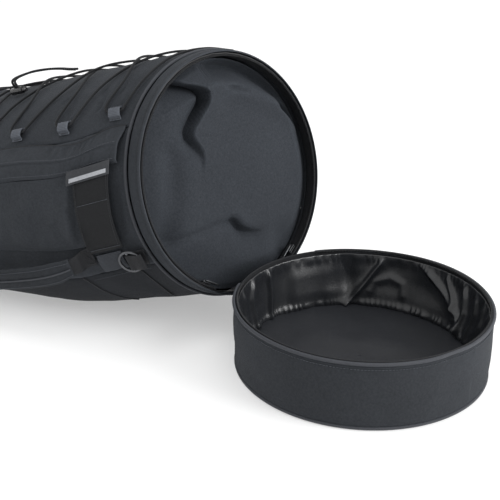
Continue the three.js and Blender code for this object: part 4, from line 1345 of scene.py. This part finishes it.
# Folds of the slack lining: lines of (degrees round the pod, height), how far they stand in, and
# their width
LINING_FOLDS = [
    ([(117, 77), (118, 65), (125, 40), (133, 16), (136, 8)], 7.0, 3.4),
    ([(122, 28), (120, 40), (112, 48), (105, 42), (104, 28)], 2.2, 5.0),
    ([(97, 77), (84, 56), (75, 44), (66, 32), (62, 18)], 6.5, 4.0),
    ([(81, 77), (77, 60), (71, 44), (69, 24)], 4.5, 3.2),
    ([(68, 77), (64, 58), (62, 40), (62, 15)], 5.5, 3.4),
    ([(55, 77), (53, 50), (55, 18)], 5.0, 4.0),
    ([(44, 77), (43, 45), (46, 15)], 5.0, 3.4),
    ([(33, 77), (35, 45), (34, 15)], 5.0, 4.2),
    ([(183, 77), (182, 45), (183, 10)], 6.0, 4.2),
    ([(196, 77), (199, 50), (196, 10)], 6.0, 5.0),
    ([(211, 77), (209, 40), (212, 12)], 5.0, 4.0),
] + [
    ([(at, 77), (at + lean, 45), (at - lean, 12)], height, 4.2)
    for at, lean, height in zip(
        np.arange(225, 380, 13.0) + 3 * noise(np.arange(12) * 1.7, 0.5, 70),
        3.5 * noise(np.arange(12) * 1.3, 0.5, 71), 5 + 1.5 * noise(np.arange(12) * 1.9, 0.5, 72),
    )
]
MM_PER_POD_DEGREE = 2.55


def lining_depth(a, z):
    """How far the lining hangs in from the wall, in millimetres."""
    along = a * MM_PER_POD_DEGREE
    lean = 13 + 6 * bell(a - 95, 35) - 8 * fade(a, 166, 184)
    depth = 1.2 + lean * (1 - fade(z, -20, 78))
    depth += 3.5 * fade(a, 139, 148) * fade(172 - a, 0, 8) * fade(z, 4, 30) * fade(78 - z, 0, 30)
    depth -= 4.0 * bell(a - 134 - (z - 40) * 0.05, 3.6)
    hang = fade(78 - z, 0, 16)
    for points, height, width in LINING_FOLDS:
        line = [(x * MM_PER_POD_DEGREE, y) for x, y in points]
        gap, _, _ = near_line(along, z, line)
        depth += hang * (0.75 * height * bell(gap, width)
                         + 0.25 * height * bell(gap, 3 * width))
    depth += 0.9 * noise(along / 26, z / 20, 38) * hang
    phase = math.tau * a / 360
    gather = np.abs(np.sin(phase * 47 + 4.5 * noise(a / 7, 0.5, 40)))
    gather *= 0.55 + 0.45 * noise(a / 5, 0.5, 44)
    depth += (2.6 * gather + 1.0) * bell(z - 11, 4.6)
    gather = np.abs(np.sin(phase * 38 + 5 * noise(a / 9, 0.5, 41)))
    return depth + 1.1 * gather * bell(z - 71, 6.0)


z, a = grid(np.linspace(6.8, 76, 50), np.linspace(25, 385, 880, endpoint=False))
seam_blend = fade(a, 25, 31) * fade(385 - a, 0, 6)
depth = lining_depth(a, z) * seam_blend + lining_depth(28.0, z) * (1 - seam_blend)
a = np.radians(a)
r = 147.0 - np.clip(depth, 0.3, 27)
lifted = z + rim_sag(a % (math.tau)) * fade(z, 30, 78)
folded = dress(sheet("pod_wall_lining_cloth", on_pod(r, a, lifted), on_pod(r + 0.5, a, lifted),
                     wrap=True), lining, "pod_wall_lining", body="pod")

z, a = grid(np.linspace(74.2, 82, 5), around)
lifted = z + rim_sag(a) * 0.8
dress(sheet("pod_tape", on_pod(148.0, a, lifted), on_pod(147.1, a, lifted), wrap=True), tape_cloth,
      "pod_zip_tape", body="pod")
line = on_pod(146.6, open_arc, 80.3 + rim_sag(open_arc % (math.tau)) * 0.8)
inward = on_pod(0, open_arc, 80.3) - on_pod(1, open_arc, 80.3)
coil("pod_coil", line, inward, [0, 0, 1], "pod", pitch=2.0)


# ---- Cloth hinge ----------------------------------------------------------------------------
half = POD_RADIUS * math.sin(HINGE_HALF_ANGLE)
u, v = grid(np.linspace(0, 1, 36), np.linspace(-1, 1, 110))
across = v * half
start = on_hoop(-2.0, across, -np.sqrt((HOOP_RADIUS - 3.2) ** 2 - across**2))
reach = POD_RADIUS - 1.6
finish_at = np.stack(spread(POD_CENTRE - np.sqrt(reach**2 - across**2), across, POD_HEIGHT - 1), -1)
cloth = lerp(start, finish_at, u[..., None])
crumple = 3.6 * noise(u * 3, v * 9, 50) + 2.4 * noise(u * 7, v * 24, 51)
cloth[..., 0] += (3.5 + crumple) * np.sin(math.pi * u)
cloth[..., 2] += 2.2 * noise(u * 4, v * 14, 52) * np.sin(math.pi * u)
hinge = sheet("hinge_cloth_sheet", cloth, cloth - np.array([0.9, 0, 0.3]))
dress(hinge, hinge_cloth, "hinge_flap", body=None)
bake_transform(hinge)
flat_size(cloth)


# ---- Far end --------------------------------------------------------------------------------
END_IN, END_ACROSS, UP = (on_end(*axis) - on_end(0, 0, 0) for axis in np.eye(3))
edge = skin(BODY_LENGTH, np.arange(0, 360, 3.0), -5.0)
c, s = math.cos(BODY_YAW), math.sin(BODY_YAW)
offset = edge - on_end(0, 0, 0)
edge_y = -offset[:, 0] * s + offset[:, 1] * c
edge_z = np.maximum(edge[:, 2], 7)
share = np.concatenate([[0.004], np.linspace(0.02, 0.96, 60), [0.985, 1.0]])
LID_MIDDLE = 128.0
y = share[:, None] * edge_y
z = LID_MIDDLE + share[:, None] * (edge_z - LID_MIDDLE)
rim = fade(1 - share, 0, 0.1)[:, None]
swell = (2.6 + 1.6 * noise(y / 60, z / 60, 60) + 0.7 * noise(y / 22, z / 30, 61)) * rim
lid_back = on_end(-2.8, y, z)
lid_face = on_end(-5.2 - swell, y, z)
dress(sheet("end_lid_cloth", lid_face, lid_back, wrap=True), charcoal, "end_lid", body="lid")
low_edge = edge[:, 2] < 60
order = np.argsort(edge_y[low_edge])
LID_HINGE_HALF = 70
y = np.linspace(-LID_HINGE_HALF, LID_HINGE_HALF, 60)
floor_of_end = np.interp(y, edge_y[low_edge][order], edge[low_edge, 2][order])
bend = curve([(10, 2.2, 0), (1.5, 2.4, 0), (-1.2, 5.5, 0), (-1.5, 16, 0)], 16)
cloth = on_end(bend[:, :1], y, floor_of_end + bend[:, 1:2])
lid_hinge = sheet("lid_hinge_cloth", cloth, cloth - 0.6 * END_IN)
dress(lid_hinge, tape_cloth, body=None)
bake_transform(lid_hinge)
flat_size(cloth)
ring_at_lid = on_end(-5.6, edge_y * 0.93, LID_MIDDLE + 0.93 * (edge_z - LID_MIDDLE))
closed_ring = looped(ring_at_lid)
coil("lid_coil", closed_ring, -END_IN, unit(np.cross(-END_IN, np.gradient(closed_ring, axis=0))),
     "lid", pitch=2.4)
stitch_ring = on_end(-6.4, edge_y * 0.88, LID_MIDDLE + 0.88 * (edge_z - LID_MIDDLE))
dress(stitches("lid_stitching", looped(stitch_ring), -END_IN), seam_thread, body="lid")
places = [(-80, -8.6), (-62, -8.6), (-50, -20), (-25, -24), (25, -24), (50, -20), (62, -8.6),
          (80, -8.6)]
at = np.array([on_end(x, y, LID_MIDDLE) for y, x in places])
tilt = np.array([0, 0.2, 0.6, 0.1, -0.1, -0.6, -0.2, 0])
grip = ribbon("lid_handle_web", at, UP, unit(END_IN + tilt[:, None] * END_ACROSS), 28, 2.2, 70)
dress(grip, black_web, "lid_handle", body="lid")
slider("lid_slider_body", on_end(-8.6, -128, 62), (END_ACROSS, UP, -END_IN), "lid",
       "lid_zip_slider")
pull("lid_pull_plate", on_end(-12.1, -128, 62), (END_ACROSS, -UP, -END_IN), "lid_pull",
     "lid_zip_pull")


# ---- Stage ----------------------------------------------------------------------------------
bpy.ops.mesh.primitive_plane_add(size=30, location=(0, 0, -0.0006))
ground = bpy.context.object
ground.name = "floor"
floor_paint, _, shader = material("floor_paint", (0.62, 0.62, 0.62), 0.75)
shader.inputs["Emission Color"].default_value = (1, 1, 1, 1)
shader.inputs["Emission Strength"].default_value = 0.36
ground.data.materials.append(floor_paint)

world = bpy.data.worlds.new("studio")
bpy.context.scene.world = world
world.use_nodes = True
world.node_tree.nodes["Background"].inputs[0].default_value = (1, 1, 1, 1)
world.node_tree.nodes["Background"].inputs[1].default_value = 1.0
bpy.context.scene.view_settings.view_transform = "Standard"


def softbox(name, location, target, size, energy):
    lamp = bpy.data.lights.new(name, "AREA")
    lamp.shape, lamp.size, lamp.energy = "SQUARE", size, energy
    obj = bpy.data.objects.new(name, lamp)
    bpy.context.scene.collection.objects.link(obj)
    obj.location = location
    obj.rotation_mode = "QUATERNION"
    obj.rotation_quaternion = (Vector(target) - Vector(location)).to_track_quat("-Z", "Y")


softbox("overhead", (-0.2, 0.3, 2.6), (0, 0, 0), 2.2, 14)
softbox("right", (2.6, 1.0, 1.3), (0, 0, 0.15), 1.6, 75)
softbox("left", (-1.6, -2.2, 1.6), (-0.1, 0, 0.1), 1.6, 6)
